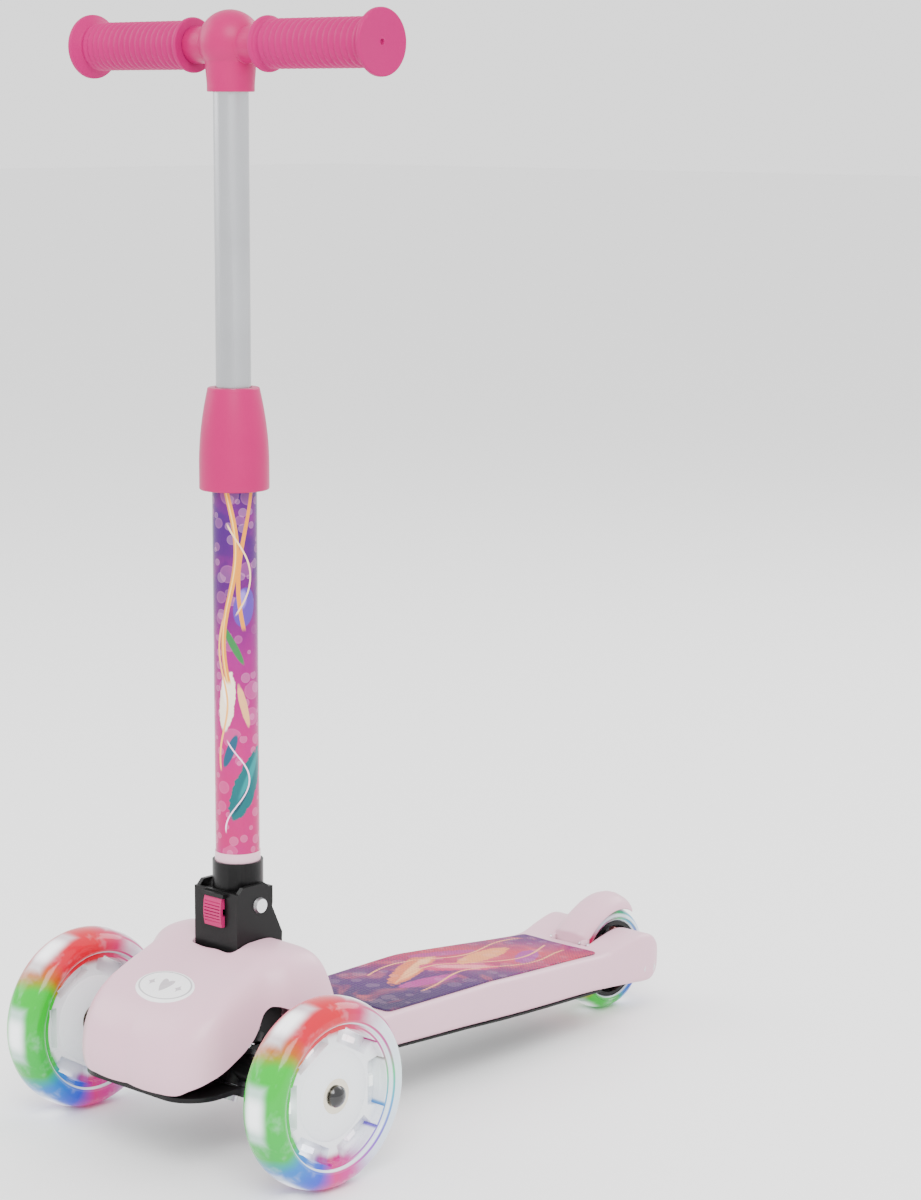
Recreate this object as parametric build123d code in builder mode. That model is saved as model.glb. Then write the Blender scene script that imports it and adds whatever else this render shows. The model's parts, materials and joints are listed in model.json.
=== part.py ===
from build123d import *
import os
from math import asin, cos, exp, radians, sin, sqrt

# A child's folding three-wheeled kick scooter that steers by leaning.
# +Z is up, the front is -Y, and +X is the rider's left.
# The origin is on the ground, midway along the wheels and under the centre line.

os.makedirs("parts", exist_ok=True)

# ---------------------------------------------------------------- driving dimensions (mm)
wheelbase = 400
front_wheel_r = 60
rear_wheel_r = 38
half_track = 112             # centre line to the middle of a front wheel
stem_behind = 34.5           # the upright's axis behind the front axle
nose_reach = 62.5            # front cover's nose ahead of the front axle
pivot_z = 153.8              # height of the upright's folding pivot
bar_z = 692.5                # height of the handlebar's axis
front_y = -(wheelbase + rear_wheel_r - nose_reach) / 2
stem_y = front_y + stem_behind

# clearances
running = 0.05               # radial, a shaft in a hole that turns or slides on it
free_gap = 0.4               # between pieces that pass each other
loose_pivot = 0.3            # radial, in the tie rod's right-hand pivot

# wheels
front_tyre_half_w = 15
front_tyre_h = 15
front_web_h = 17             # drum to the outside of the rim
front_rim_half_w = 12.5
front_hub_half_w = 10.5
rear_tyre_half_w = 12
rear_tyre_h = 10
rear_web_h = 12
rear_rim_half_w = 10.8
rear_hub_half_w = 11.5
tyre_round = 0.62            # height of the round tread, as a share of the tyre's half-width
tyre_chamfer = 2.5
bearing_r = 11
bearing_w = 7
bearing_rim = 2
drum_dome = 2.5
axle_r = 4
spacer_wall = 2
rim_band = 3
window_margin = 1.5
window_slant = 78            # degrees, a window's side to its foot
web_half_w = 1.5
led_count = 6
led_size = (4, 3.5, 7)       # out along the axle, radial, along the rim
front_rim_r = front_wheel_r - front_tyre_h
front_drum_r = front_rim_r - front_web_h
rear_rim_r = rear_wheel_r - rear_tyre_h
rear_drum_r = rear_rim_r - rear_web_h

# steering
kingpin_x = 35
kingpin_lean = 25            # degrees, the top leans back
kingpin_r = 4
kingpin_head_r = kingpin_r + 2.5
kingpin_head_h = 4
barrel_r = kingpin_r + 5
barrel_half_h = 12
lug_r = kingpin_r + 6
lug_h = 6
spring_room = 5.5
spring_end_gap = 1.2
spring_wire_r = 0.8
spring_pitch = 2.1
arm_length = 28
arm_h = 6
tie_rod_h = 5
tie_pin_r = 2.5
tie_pin_head_r = tie_pin_r + 1.5
tie_pin_head_h = 2
arm_w = 2 * (tie_pin_r + 2.5)
boss_nose_r = axle_r + 2.4
boss_r = boss_nose_r + 2.6
bolt_depth = 6               # solid knuckle between the barrel and the axle bolt
magnet_r = boss_r
magnet_w = 6
axle_cap_r = axle_r + 2.75
axle_cap_rim = 1.2
axle_cap_h = 3.4

# upright
upper_r = 11
upper_wall = 1.4
upper_bottom = 318
bushing_wall = 1.5
bushing_h = 27
tube_wall = 1.4
tube_r = upper_r + bushing_wall + tube_wall
tube_bottom = pivot_z + 6.2
film_t = 0.2
film_bottom = pivot_z + 33.2
liner_ring_t = 0.7
collar_bottom = 419
collar_r = tube_r + 8.1
collar_chamfer = (0.8, 1)    # across, up
collar_skirt_h = 26
collar_neck = ((31, 0.6), (37, 1.3), (43, 2.2), (49, 2.9), (56, 4.1), (62, 5.3))   # height, drop in radius
collar_h = 64
collar_mouth = 6.6           # drop in radius at the top
tube_top = collar_bottom + 51
insert_h = 30
insert_flange_h = 4
insert_slit = 1.5

# folding joint
pivot_r = 4
pivot_head_r = pivot_r + 1.25
pivot_head_h = 2.4
pivot_head_slope = 18        # degrees
pivot_nut_r = pivot_r + 2.5
pivot_nut_h = 4
pivot_tail = 3.5             # bolt past the nut-side cheek
socket_wall = 2.4
socket_r = tube_r + socket_wall
socket_top = pivot_z + 27.2
socket_round_start = pivot_z + 9.6
tongue_r = socket_r - 1.3
rivet_z = pivot_z + 20.2
rivet_r = 2
rivet_head_h = 0.8
cheek_t = 3
cheek_top = pivot_z + 13.7
cheek_chamfer = 5.5
cheek_flat = (-14, 3.5)      # the cheek's level top, along the scooter from the upright's axis
gusset_low = 14.6            # the gusset's foot above the bracket's base
bracket_front = socket_r + 3.3
bracket_back = socket_r + 3.7
bracket_foot = 0.6           # rear edge's lean over the gusset's foot
bracket_web_t = 2.6
bracket_base_h = 10
button_half_w = 8
button_low = pivot_z - 12.8
button_high = pivot_z + 6.2
button_travel = 3
button_front = bracket_front + 3.4
button_back = tongue_r + free_gap + button_travel
button_bulge = 1.2
button_rib_h = 0.6
button_ribs = 8
button_groove = 2            # face to the groove that passes the spring bar
spring_bar_t = 1.1
spring_bar_half_h = 2
hood_h = 2.6
hood_reach = 3
hood_side = 2
bracket_screw_pitch = (20, 22)
bracket_screw_r = 2.5
bracket_screw_head_r = 4.2
bracket_screw_head_h = 3

# chassis
spine_half_w = kingpin_x - barrel_r - 4
beam_bottom = 52
beam_end = 200               # behind the front axle
tower_half_w = socket_r + 2.7
tower_front = bracket_front + 3.4
tower_back = bracket_back - 0.5
tower_top = pivot_z - 35.8
nose_arm_half_w = 12
nose_arm_front = 12.5 - nose_reach
nose_arm_h = 10
tray_h = 3
tray_end = -18

# front cover
cover_wall = 2.6
cover_bottom = 54
nose_half_w = 59
lobe_half_w = 70
valley_behind = 12           # where the nose swells into the side lobes
valley_length = 6
taper_start = 55
taper_power = 1.6
cover_end = 118              # behind the front axle
cover_rear_half_w = 52
cover_corner_r = 28
crown_z = tower_top + 15
crown_start = 20
crown_slope = 0.46
crown_blend = 10
nose_drop = 36
side_drop = 7                # at side_drop_at from the centre line
side_drop_at = 50
edge_drop = 22               # at the cover's side edge
rear_fall = 0.0115           # per mm squared past rear_fall_start
rear_fall_start = 45
badge_size = (48, 29)
badge_h = 0.9
badge_behind = -29
badge_tilt = 30              # degrees

# deck, as distances behind the front axle and heights
deck_start = 100
deck_bend = 228
deck_flat_top = 66
deck_slope_end = wheelbase - 53
deck_low_top = rear_wheel_r + 18.8
deck_end = wheelbase + 11.5
deck_wall = 2.8
deck_bottom_z = ((deck_start, 44), (200, 40.5), (wheelbase + 2, 28))
deck_half_widths = ((47, deck_start), (47.5, 130), (49.5, 210),
                    (46.5, wheelbase - 112), (42, wheelbase - 55), (40, wheelbase))
deck_tail_chamfer = 11.5
rail_top = ((-38, 19.4), (-25, 23), (-9, 26), (3, 24.4), (9.5, 19))    # from the rear axle: behind, above
rail_back = ((11.5, 6), (8.6, -6))
liner_h = 1.5
liner_inset = 1.2
mat_h = 1.2
mat_half_widths = ((42.4, cover_end + 11), (43.4, cover_end + 32), (45.4, deck_bend),
                   (39.5, wheelbase - 100), (34, wheelbase - 55))
mat_rear_bow = 2
boss_places = ((37, 150), (37, 245), (32, wheelbase - 70))
boss_outer_r = 4
deck_screw_r = 1.6
deck_screw_head_r = 3.2
deck_screw_head_h = 1.2
deck_screw_length = 10

# rear wheel bay and brake
bay_half_w = rear_tyre_half_w + 4
bay_start = wheelbase - rear_wheel_r - 2.4
hollow_end = bay_start - 7.6
bush_r = axle_r + 2.5
axle_head_r = axle_r + 2.5
axle_head_h = 5
axle_head_seat = 1           # sunk into the rail
brake_pin_r = 1.5
brake_pin_gap = 0.53         # between the pin and the tread
brake_pin_rise = 18.5        # above the rear axle
brake_pin_half_l = bay_half_w + 4
brake_pin_z = rear_wheel_r + brake_pin_rise
brake_pin_behind = wheelbase - sqrt((rear_wheel_r + brake_pin_gap + brake_pin_r) ** 2 - brake_pin_rise ** 2)
brake_spring_r = brake_pin_r + 0.9
brake_spring_wire_r = 0.45
brake_spring_pitch = 1.1
brake_spring_length = 3.2
fender_half_w = bay_half_w - 0.8
fender_gap = 4.2             # fender's inside above the tread
fender_front = bay_start + 0.8
fender_lip_h = 2             # its square front edge
fender_arc = (57, 142)       # degrees round the wheel, from level behind it
fender_wall = ((131, 3.5), (114.3, 3.9), (98.4, 5.9), (85.3, 7), (72.3, 7.1), (59.1, 5.6))
fender_ear = 2.8
fender_ear_r = brake_pin_r + 2.1
pad_h = 1.2
pad_half_w = 8
pad_arc = (75, 105)

# handlebar
bar_r = 9.5
bar_half_l = 124
bar_wall = 1.5
ball_z = bar_z + 1.5
ball_r = upper_r + 8.6
ball_blend_drop = 12         # the skirt meets the ball this far under its centre
hub_bottom = bar_z - 28.5
hub_skirt_r = upper_r + 3.5
hub_skirt_flare = (0.5, 8)
hub_tube_depth = 18
hub_screw_rise = 7
hub_screw_r = 2
stub_r = bar_r + 1.9
stub_end = 32
grip_r = bar_r + 4.8
grip_rib_h = 0.8
grip_ribs = 17
grip_inner_r = grip_r + 2.7
grip_flange_r = grip_r + 5.8
grip_end = bar_half_l + 5.5
grip_flange_w = 3
grip_cone = 4
grip_round = 0.8
grip_hole_r = 1.5
grip_hole_depth = 2

# ---------------------------------------------------------------- derived places
side_plane = Plane(origin=(0, front_y, 0), x_dir=(0, 1, 0), z_dir=(1, 0, 0))
stem_side = Plane(origin=(0, stem_y, 0), x_dir=(0, 1, 0), z_dir=(1, 0, 0))
cheek_inner = socket_r + free_gap
cheek_outer = cheek_inner + cheek_t
bracket_base_top = tower_top + bracket_base_h
deck_ceiling = deck_flat_top - deck_wall
mat_top = deck_flat_top + mat_h
rear_y = front_y + wheelbase
lug_start = barrel_half_h + free_gap
upper_lug_start = lug_start + spring_room
insert_top = tube_top + insert_flange_h
insert_bottom = tube_top - insert_h
collar_top = collar_bottom + collar_h
stem_axis = Axis((0, stem_y, 0), (0, 0, 1))


def plan_plane(height):
    """A level plane whose second axis counts the distance behind the front axle."""
    return Plane(origin=(0, front_y, height), x_dir=(1, 0, 0), z_dir=(0, 0, 1))


def stem_plane(height):
    """A level plane centred on the upright's axis."""
    return Plane(origin=(0, stem_y, height), x_dir=(1, 0, 0), z_dir=(0, 0, 1))


def kingpin_plane(x, along):
    """A plane square to the leaning kingpins, a distance along them from the axle line."""
    lean = radians(kingpin_lean)
    centre = Vector(x, front_y, front_wheel_r) + Vector(0, sin(lean), cos(lean)) * along
    return Plane(origin=centre, x_dir=(1, 0, 0), z_dir=(0, sin(lean), cos(lean)))


def along_x(x, y, z):
    """A plane square to X."""
    return Plane(origin=(x, y, z), x_dir=(0, 1, 0), z_dir=(1, 0, 0))


def between(points, place):
    """Straight-line reading of a table of (place, value) pairs."""
    for (start, low), (end, high) in zip(points, points[1:]):
        if place <= end or (end, high) == points[-1]:
            return low + (high - low) * (place - start) / (end - start)


def deck_under(behind):
    """Height of the deck's lower edge."""
    return between(deck_bottom_z, behind)


def deck_over(behind):
    """Height of the deck's upper face."""
    level = ((deck_start, deck_flat_top), (deck_bend, deck_flat_top))
    return between((*level, (deck_slope_end, deck_low_top)), behind)


def save(part, name):
    """Label a finished piece and write it."""
    part.label = name
    export_step(part, f"parts/{name}.step")


# ---------------------------------------------------------------- wheels
def ring(x, y, z, inner, outer, low, high):
    """A plain ring about X between two distances along it."""
    with BuildPart() as body:
        with BuildSketch(along_x(x + low, y, z)):
            Circle(outer)
            Circle(inner, mode=Mode.SUBTRACT)
        extrude(amount=high - low)
    return body.part


def tyre(x, y, z, radius, rim_r, half_w):
    """A tyre with a fully rounded tread on a straight-sided foot."""
    shoulder = radius - half_w * tyre_round
    foot = half_w - tyre_chamfer
    side_low = rim_r + tyre_chamfer
    with BuildPart() as body:
        with BuildSketch(Plane(origin=(x, y, z))):
            with BuildLine():
                Line((-foot, rim_r), (-half_w, side_low))
                Line((-half_w, side_low), (-half_w, shoulder))
                ThreePointArc((-half_w, shoulder), (0, radius), (half_w, shoulder))
                Line((half_w, shoulder), (half_w, side_low))
                Line((half_w, side_low), (foot, rim_r))
                Line((foot, rim_r), (-foot, rim_r))
            make_face()
        revolve(axis=Axis((x, y, z), (1, 0, 0)))
    return body.part


def core(x, y, z, rim_r, rim_half_w, drum_r, hub_half_w, windows):
    """A moulded wheel core: domed drum, web with pockets from both sides, and rim band."""
    dome = drum_dome
    drum_rim = bearing_r + bearing_rim
    drum_bulge = hub_half_w - dome * 0.3
    drum_middle = (drum_rim + drum_r) / 2
    drum_shoulder = hub_half_w - dome
    web_face = rim_half_w - 2 * dome
    web_low = drum_r + 1
    band_low = rim_r - rim_band
    with BuildPart() as body:
        with BuildSketch(Plane(origin=(x, y, z))):
            with BuildLine():
                Polyline((-drum_shoulder, drum_r), (-web_face, web_low), (-web_face, band_low),
                         (-rim_half_w, band_low), (-rim_half_w, rim_r), (rim_half_w, rim_r),
                         (rim_half_w, band_low), (web_face, band_low), (web_face, web_low),
                         (drum_shoulder, drum_r))
                ThreePointArc((drum_shoulder, drum_r), (drum_bulge, drum_middle), (hub_half_w, drum_rim))
                Polyline((hub_half_w, drum_rim), (hub_half_w, bearing_r), (-hub_half_w, bearing_r),
                         (-hub_half_w, drum_rim))
                ThreePointArc((-hub_half_w, drum_rim), (-drum_bulge, drum_middle), (-drum_shoulder, drum_r))
            make_face()
        revolve(axis=Axis((x, y, z), (1, 0, 0)))
        inner = drum_r + window_margin + 1
        outer = rim_r - rim_band - window_margin
        for face in (-1, 1):
            web_plane = Plane(origin=(x + face * web_half_w, y, z), x_dir=(0, 1, 0), z_dir=(face, 0, 0))
            with BuildSketch(web_plane):
                with PolarLocations(0, windows):
                    with Locations(((inner + outer) / 2, 0)):
                        Trapezoid(inner * 1.05, outer - inner, window_slant, rotation=90)
            extrude(amount=rim_half_w, mode=Mode.SUBTRACT)
    return body.part


def bearings(x, y, z, hub_half_w):
    """The pair of ball bearings pressed into a wheel's drum."""
    with BuildPart() as body:
        for face in (-1, 1):
            with BuildSketch(Plane(origin=(x + face * (hub_half_w - bearing_w), y, z),
                                   x_dir=(0, 1, 0), z_dir=(face, 0, 0))):
                Circle(bearing_r)
                Circle(axle_r + running, mode=Mode.SUBTRACT)
            extrude(amount=bearing_w)
    return body.part


def leds(x, y, z, drum_r, rim_r, outward):
    """Light capsules seated on the web in every pocket."""
    middle = (drum_r + rim_r - rim_band + 1) / 2
    out, radial, along = led_size
    seat = Plane(origin=(x + outward * web_half_w, y, z), x_dir=(0, 1, 0), z_dir=(outward, 0, 0))
    with BuildPart() as body:
        with BuildSketch(seat):
            with PolarLocations(middle, led_count):
                Rectangle(radial, along)
        extrude(amount=out)
    return body.part


def wheel(name, x, y, radius, outward, rim_r, rim_half_w, drum_r, hub_half_w, tyre_half_w):
    """All pieces of one wheel."""
    save(tyre(x, y, radius, radius, rim_r, tyre_half_w), f"{name}_tyre")
    save(core(x, y, radius, rim_r, rim_half_w, drum_r, hub_half_w, led_count), f"{name}_core")
    save(bearings(x, y, radius, hub_half_w), f"{name}_bearings")
    inner = hub_half_w - bearing_w
    bore = axle_r + running
    save(ring(x, y, radius, bore, bore + spacer_wall, -inner, inner), f"{name}_spacer")
    save(leds(x, y, radius, drum_r, rim_r, outward), f"{name}_leds")


sides = (("left", 1), ("right", -1))
for side, sign in sides:
    wheel(f"front_wheel_{side}", sign * half_track, front_y, front_wheel_r, sign,
          front_rim_r, front_rim_half_w, front_drum_r, front_hub_half_w, front_tyre_half_w)
wheel("rear_wheel", 0, rear_y, rear_wheel_r, 1,
      rear_rim_r, rear_rim_half_w, rear_drum_r, rear_hub_half_w, rear_tyre_half_w)


# ---------------------------------------------------------------- steering
boss_end = half_track - front_hub_half_w - free_gap
magnet_end = boss_end - 1
boss_step = magnet_end - magnet_w
bolt_seat = kingpin_x + barrel_r + bolt_depth


def knuckle(sign):
    """Steering knuckle: barrel on the kingpin, boss for the axle, and arm to the tie rod."""
    with BuildPart() as body:
        with BuildSketch(kingpin_plane(sign * kingpin_x, -barrel_half_h)):
            Circle(barrel_r)
        extrude(amount=2 * barrel_half_h)
        with BuildSketch(kingpin_plane(sign * kingpin_x, -barrel_half_h)):
            with Locations((0, arm_length / 2)):
                Rectangle(arm_w, arm_length)
            with Locations((0, arm_length)):
                Circle(arm_w / 2)
        extrude(amount=arm_h)
        for radius, end in ((boss_r, boss_step), (boss_nose_r, boss_end)):
            with BuildSketch(along_x(sign * kingpin_x, front_y, front_wheel_r)):
                Circle(radius)
            extrude(amount=sign * (end - kingpin_x))
        with BuildSketch(kingpin_plane(sign * kingpin_x, -barrel_half_h - 1)):
            Circle(kingpin_r + running)
        extrude(amount=2 * barrel_half_h + 2, mode=Mode.SUBTRACT)
        with BuildSketch(kingpin_plane(sign * kingpin_x, -barrel_half_h - 1)):
            with Locations((0, arm_length)):
                Circle(tie_pin_r + (running if sign > 0 else loose_pivot))
        extrude(amount=arm_h + 2, mode=Mode.SUBTRACT)
        with BuildSketch(along_x(sign * bolt_seat, front_y, front_wheel_r)):
            Circle(axle_r)
        extrude(amount=sign * (boss_end + 1 - bolt_seat), mode=Mode.SUBTRACT)
    return body.part


def front_axle(sign):
    """Axle bolt whose domed head closes the wheel's outer bearing."""
    face = half_track + front_hub_half_w + free_gap
    rim = face + axle_cap_rim
    top = rim + axle_cap_h
    curve_r = (axle_cap_r ** 2 + axle_cap_h ** 2) / (2 * axle_cap_h)
    half_turn = asin(axle_cap_r / curve_r) / 2
    crown = (top - curve_r + curve_r * cos(half_turn), curve_r * sin(half_turn))
    with BuildPart() as body:
        with BuildSketch(Plane(origin=(0, front_y, front_wheel_r), x_dir=(sign, 0, 0), z_dir=(0, 0, 1))):
            with BuildLine():
                Polyline((top, 0), (bolt_seat, 0), (bolt_seat, axle_r), (face, axle_r), (face, axle_cap_r),
                         (rim, axle_cap_r))
                ThreePointArc((rim, axle_cap_r), crown, (top, 0))
            make_face()
        revolve(axis=Axis((0, front_y, front_wheel_r), (1, 0, 0)))
    return body.part


for side, sign in sides:
    save(knuckle(sign), f"knuckle_{side}")
    save(front_axle(sign), f"front_axle_{side}")
    low, high = sorted((sign * boss_step, sign * magnet_end))
    save(ring(0, front_y, front_wheel_r, boss_nose_r, magnet_r, low, high), f"wheel_magnet_{side}")

tie_rod_top = -barrel_half_h - free_gap
with BuildPart() as tie_rod:
    with BuildSketch(kingpin_plane(0, tie_rod_top - tie_rod_h)):
        with Locations((0, arm_length)):
            SlotCenterToCenter(2 * kingpin_x, arm_w)
        with Locations((-kingpin_x, arm_length), (kingpin_x, arm_length)):
            Circle(tie_pin_r, mode=Mode.SUBTRACT)
    extrude(amount=tie_rod_h)
save(tie_rod.part, "tie_rod")

with BuildPart() as tie_rod_pins:
    pin_top = -barrel_half_h + arm_h + free_gap
    tie_rod_low = tie_rod_top - tie_rod_h
    for low, high, radius in ((tie_rod_low - tie_pin_head_h, tie_rod_low, tie_pin_head_r),
                              (tie_rod_low, pin_top, tie_pin_r),
                              (pin_top, pin_top + tie_pin_head_h, tie_pin_head_r)):
        with BuildSketch(kingpin_plane(0, low)):
            with Locations((-kingpin_x, arm_length), (kingpin_x, arm_length)):
                Circle(radius)
        extrude(amount=high - low)
save(tie_rod_pins.part, "tie_rod_pins")

with BuildPart() as kingpins:
    pin_low = -lug_start - lug_h
    pin_high = upper_lug_start + lug_h
    for low, high, radius in ((pin_low - kingpin_head_h, pin_low, kingpin_head_r),
                              (pin_low, pin_high, kingpin_r),
                              (pin_high, pin_high + kingpin_head_h, kingpin_head_r)):
        with BuildSketch(kingpin_plane(0, low)):
            with Locations((-kingpin_x, 0), (kingpin_x, 0)):
                Circle(radius)
        extrude(amount=high - low)
save(kingpins.part, "kingpins")


def coil(plane, wire_r, radius, pitch, height):
    """A round-wire coil about the plane's normal."""
    with BuildPart() as body:
        with BuildLine() as path:
            Helix(pitch=pitch, height=height, radius=radius, center=plane.origin, direction=plane.z_dir)
        with BuildSketch(Plane(origin=path.line @ 0, z_dir=path.line % 0)):
            Circle(wire_r)
        sweep(path=path.line, is_frenet=True)
    return body.part


spring_coils = [coil(kingpin_plane(sign * kingpin_x, lug_start + spring_end_gap), spring_wire_r,
                     kingpin_r + 2 * spring_wire_r, spring_pitch, spring_room - 2 * spring_end_gap - 0.2)
                for side, sign in sides]
save(Compound(children=spring_coils), "centring_springs")

# ---------------------------------------------------------------- chassis
with BuildPart() as chassis_upper:
    spine_low = -lug_start - lug_h
    with BuildSketch(kingpin_plane(0, spine_low)):
        Rectangle(2 * spine_half_w, 2 * lug_r)
    extrude(amount=upper_lug_start + lug_h - spine_low)
    for low in (spine_low, upper_lug_start):
        with BuildSketch(kingpin_plane(0, low)):
            SlotCenterToCenter(2 * kingpin_x, 2 * lug_r)
        extrude(amount=lug_h)
    with BuildSketch(plan_plane(beam_bottom)):
        with Locations((0, beam_end / 2)):
            Rectangle(2 * spine_half_w, beam_end)
    extrude(amount=deck_ceiling - beam_bottom)
    with BuildSketch(stem_plane(beam_bottom)):
        with Locations((0, (tower_back - tower_front) / 2)):
            Rectangle(2 * tower_half_w, tower_front + tower_back)
    extrude(amount=tower_top - beam_bottom)
    with BuildSketch(plan_plane(cover_bottom)):
        with Locations((0, nose_arm_front / 2)):
            Rectangle(2 * nose_arm_half_w, -nose_arm_front)
    extrude(amount=nose_arm_h)
    with BuildSketch(kingpin_plane(0, spine_low - 1)):
        with Locations((-kingpin_x, 0), (kingpin_x, 0)):
            Circle(kingpin_r)
    extrude(amount=upper_lug_start + lug_h - spine_low + 2, mode=Mode.SUBTRACT)
save(chassis_upper.part, "chassis_upper")


def cover_half_width(behind):
    """Half-width of the cover's plan: nose, valley, lobes over the wheels, rear."""
    swell = 1 / (1 + exp((valley_behind - behind) / valley_length))
    taper = max(0, behind - taper_start) / (cover_end - taper_start)
    narrowing = (lobe_half_w - cover_rear_half_w) * taper ** taper_power
    return nose_half_w + (lobe_half_w - nose_half_w) * swell - narrowing


def cover_height(x, behind):
    """Height of the cover's outer face over a point of its plan."""
    ahead = crown_start - behind
    climb = crown_slope * (sqrt(ahead ** 2 + crown_blend ** 2) + ahead) / 2
    nose = nose_drop * (max(0, -behind) / nose_reach) ** 12
    rear = rear_fall * max(0, behind - rear_fall_start) ** 2
    side = side_drop * (x / side_drop_at) ** 2 + edge_drop * (abs(x) / lobe_half_w) ** 8
    return crown_z - climb - nose - rear - side


def cover_body(inset, lift):
    """Solid under the cover's outer face, moved up by lift, inside its plan, moved in by inset."""
    grid = [[Vector(x, front_y + d, cover_height(x, d) + lift) for d in range(-66, 128, 6)]
            for x in range(-78, 79, 6)]
    crown = Face.make_surface_from_array_of_points(grid)
    stations = (cover_corner_r - nose_reach, -15, 0, 12, 24, 40, 55, 75, 95, cover_end)
    edge = [(cover_half_width(d) - inset, d) for d in stations]
    corner = (nose_half_w - cover_corner_r, inset - nose_reach)
    bend = 0.29 * (cover_corner_r - inset)
    middle = (edge[0][0] - bend, corner[1] + bend)
    with BuildPart() as body:
        with BuildSketch(plan_plane(cover_bottom - 30)):
            with BuildLine():
                Spline(*edge)
                Spline(*[(-x, d) for x, d in edge])
                Line(edge[-1], (-edge[-1][0], cover_end))
                ThreePointArc(edge[0], middle, corner)
                ThreePointArc((-edge[0][0], edge[0][1]), (-middle[0], middle[1]), (-corner[0], corner[1]))
                Line(corner, (-corner[0], corner[1]))
            make_face()
        extrude(amount=crown_z)
        split(bisect_by=crown, keep=Keep.BOTTOM)
    return body.part


cover_outer = cover_body(0, 0)
cover_inner = cover_body(cover_wall, -cover_wall)
badge_shell = cover_body(0, badge_h)
deck_clear_w = between([(d, w) for w, d in deck_half_widths], cover_end) + free_gap
arch = ((-55, 59.5), (-45, 64.4), (-30, 70), (-16, 77), (-7, 84), (-1, 94), (6, 102), (15, 100),
        (27, 92), (42, 80), (58, 71))

with BuildPart() as front_cover:
    add(cover_outer)
    add(cover_inner, mode=Mode.SUBTRACT)
    with BuildSketch(plan_plane(0)):
        with Locations((0, 30)):
            Rectangle(300, 300)
    extrude(amount=cover_bottom, mode=Mode.SUBTRACT)
    with BuildSketch(side_plane):
        with BuildLine():
            Spline(*arch)
            Line(arch[-1], (cover_end + 10, deck_flat_top - 1))
            Line((cover_end + 10, deck_flat_top - 1), (cover_end + 10, 0))
            Line((cover_end + 10, 0), (arch[0][0], 0))
            Line((arch[0][0], 0), arch[0])
        make_face()
    extrude(amount=lobe_half_w + 10, both=True, mode=Mode.SUBTRACT)
    with BuildSketch(plan_plane(0)):
        with Locations((0, deck_start + 50)):
            Rectangle(2 * deck_clear_w, 100 + 2 * free_gap)
    extrude(amount=deck_flat_top, mode=Mode.SUBTRACT)
    with BuildSketch(stem_plane(tower_top - 40)):
        with Locations((0, (bracket_back - bracket_front - 4) / 2)):
            Rectangle(2 * (cheek_outer + free_gap), bracket_front + bracket_back + 4 + 2 * free_gap)
    extrude(amount=80, mode=Mode.SUBTRACT)
save(front_cover.part, "front_cover")

badge_up = (0, -sin(radians(badge_tilt)), cos(radians(badge_tilt)))
badge_plane = Plane(origin=(0, front_y + badge_behind, crown_z - 43), x_dir=(1, 0, 0), z_dir=badge_up)
with BuildPart() as badge:
    with BuildSketch(badge_plane):
        Ellipse(badge_size[0] / 2, badge_size[1] / 2)
    extrude(amount=badge_size[0])
    add(badge_shell, mode=Mode.INTERSECT)
    add(cover_outer, mode=Mode.SUBTRACT)
save(badge.part, "badge")

with BuildPart() as chassis_lower:
    add(cover_body(cover_wall + free_gap, 0))
    with BuildSketch(plan_plane(cover_bottom - tray_h)):
        with Locations((0, tray_end - 50)):
            Rectangle(300, 100)
    extrude(amount=tray_h, mode=Mode.INTERSECT)
save(chassis_lower.part, "chassis_lower")

# ---------------------------------------------------------------- deck
deck_tail = deck_bottom_z[-1]
rail_points = [(wheelbase + d, rear_wheel_r + z) for d, z in rail_top]
tail_points = [(wheelbase + d, rear_wheel_r + z) for d, z in rail_back]


def deck_block(end, drop, floor, inset):
    """Block with the deck's plan, moved in by inset, between its lowered top and its floor."""
    last = min(end, deck_tail[0])
    low = [(d, z + floor) for d, z in deck_bottom_z if d < last]
    low.append((last, deck_under(last) + floor))
    with BuildPart() as body:
        with BuildSketch(side_plane):
            with BuildLine():
                Polyline(*low)
                Line(low[0], (deck_start, deck_flat_top - drop))
                Line((deck_start, deck_flat_top - drop), (deck_bend, deck_flat_top - drop))
                if end < bay_start:
                    Line((deck_bend, deck_flat_top - drop), (end, deck_over(end) - drop))
                    Line((end, deck_over(end) - drop), low[-1])
                else:
                    Line((deck_bend, deck_flat_top - drop), (deck_slope_end, deck_low_top - drop))
                    Spline((deck_slope_end, deck_low_top - drop), *rail_points,
                           tangents=((1, -0.08), (0.25, -1)))
                    Spline(rail_points[-1], *tail_points, low[-1])
            make_face()
        extrude(amount=lobe_half_w, both=True)
        edge = [(w - inset, d) for w, d in deck_half_widths]
        rear = edge[-1]
        tail = (rear[0] - deck_tail_chamfer, deck_end - inset)
        with BuildSketch(plan_plane(0)):
            with BuildLine():
                Spline(*edge)
                Spline(*[(-w, d) for w, d in edge])
                Line(edge[0], (-edge[0][0], deck_start))
                Line(rear, tail)
                Line((-rear[0], rear[1]), (-tail[0], tail[1]))
                Line(tail, (-tail[0], tail[1]))
            make_face()
        extrude(amount=pivot_z, mode=Mode.INTERSECT)
    return body.part


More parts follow.
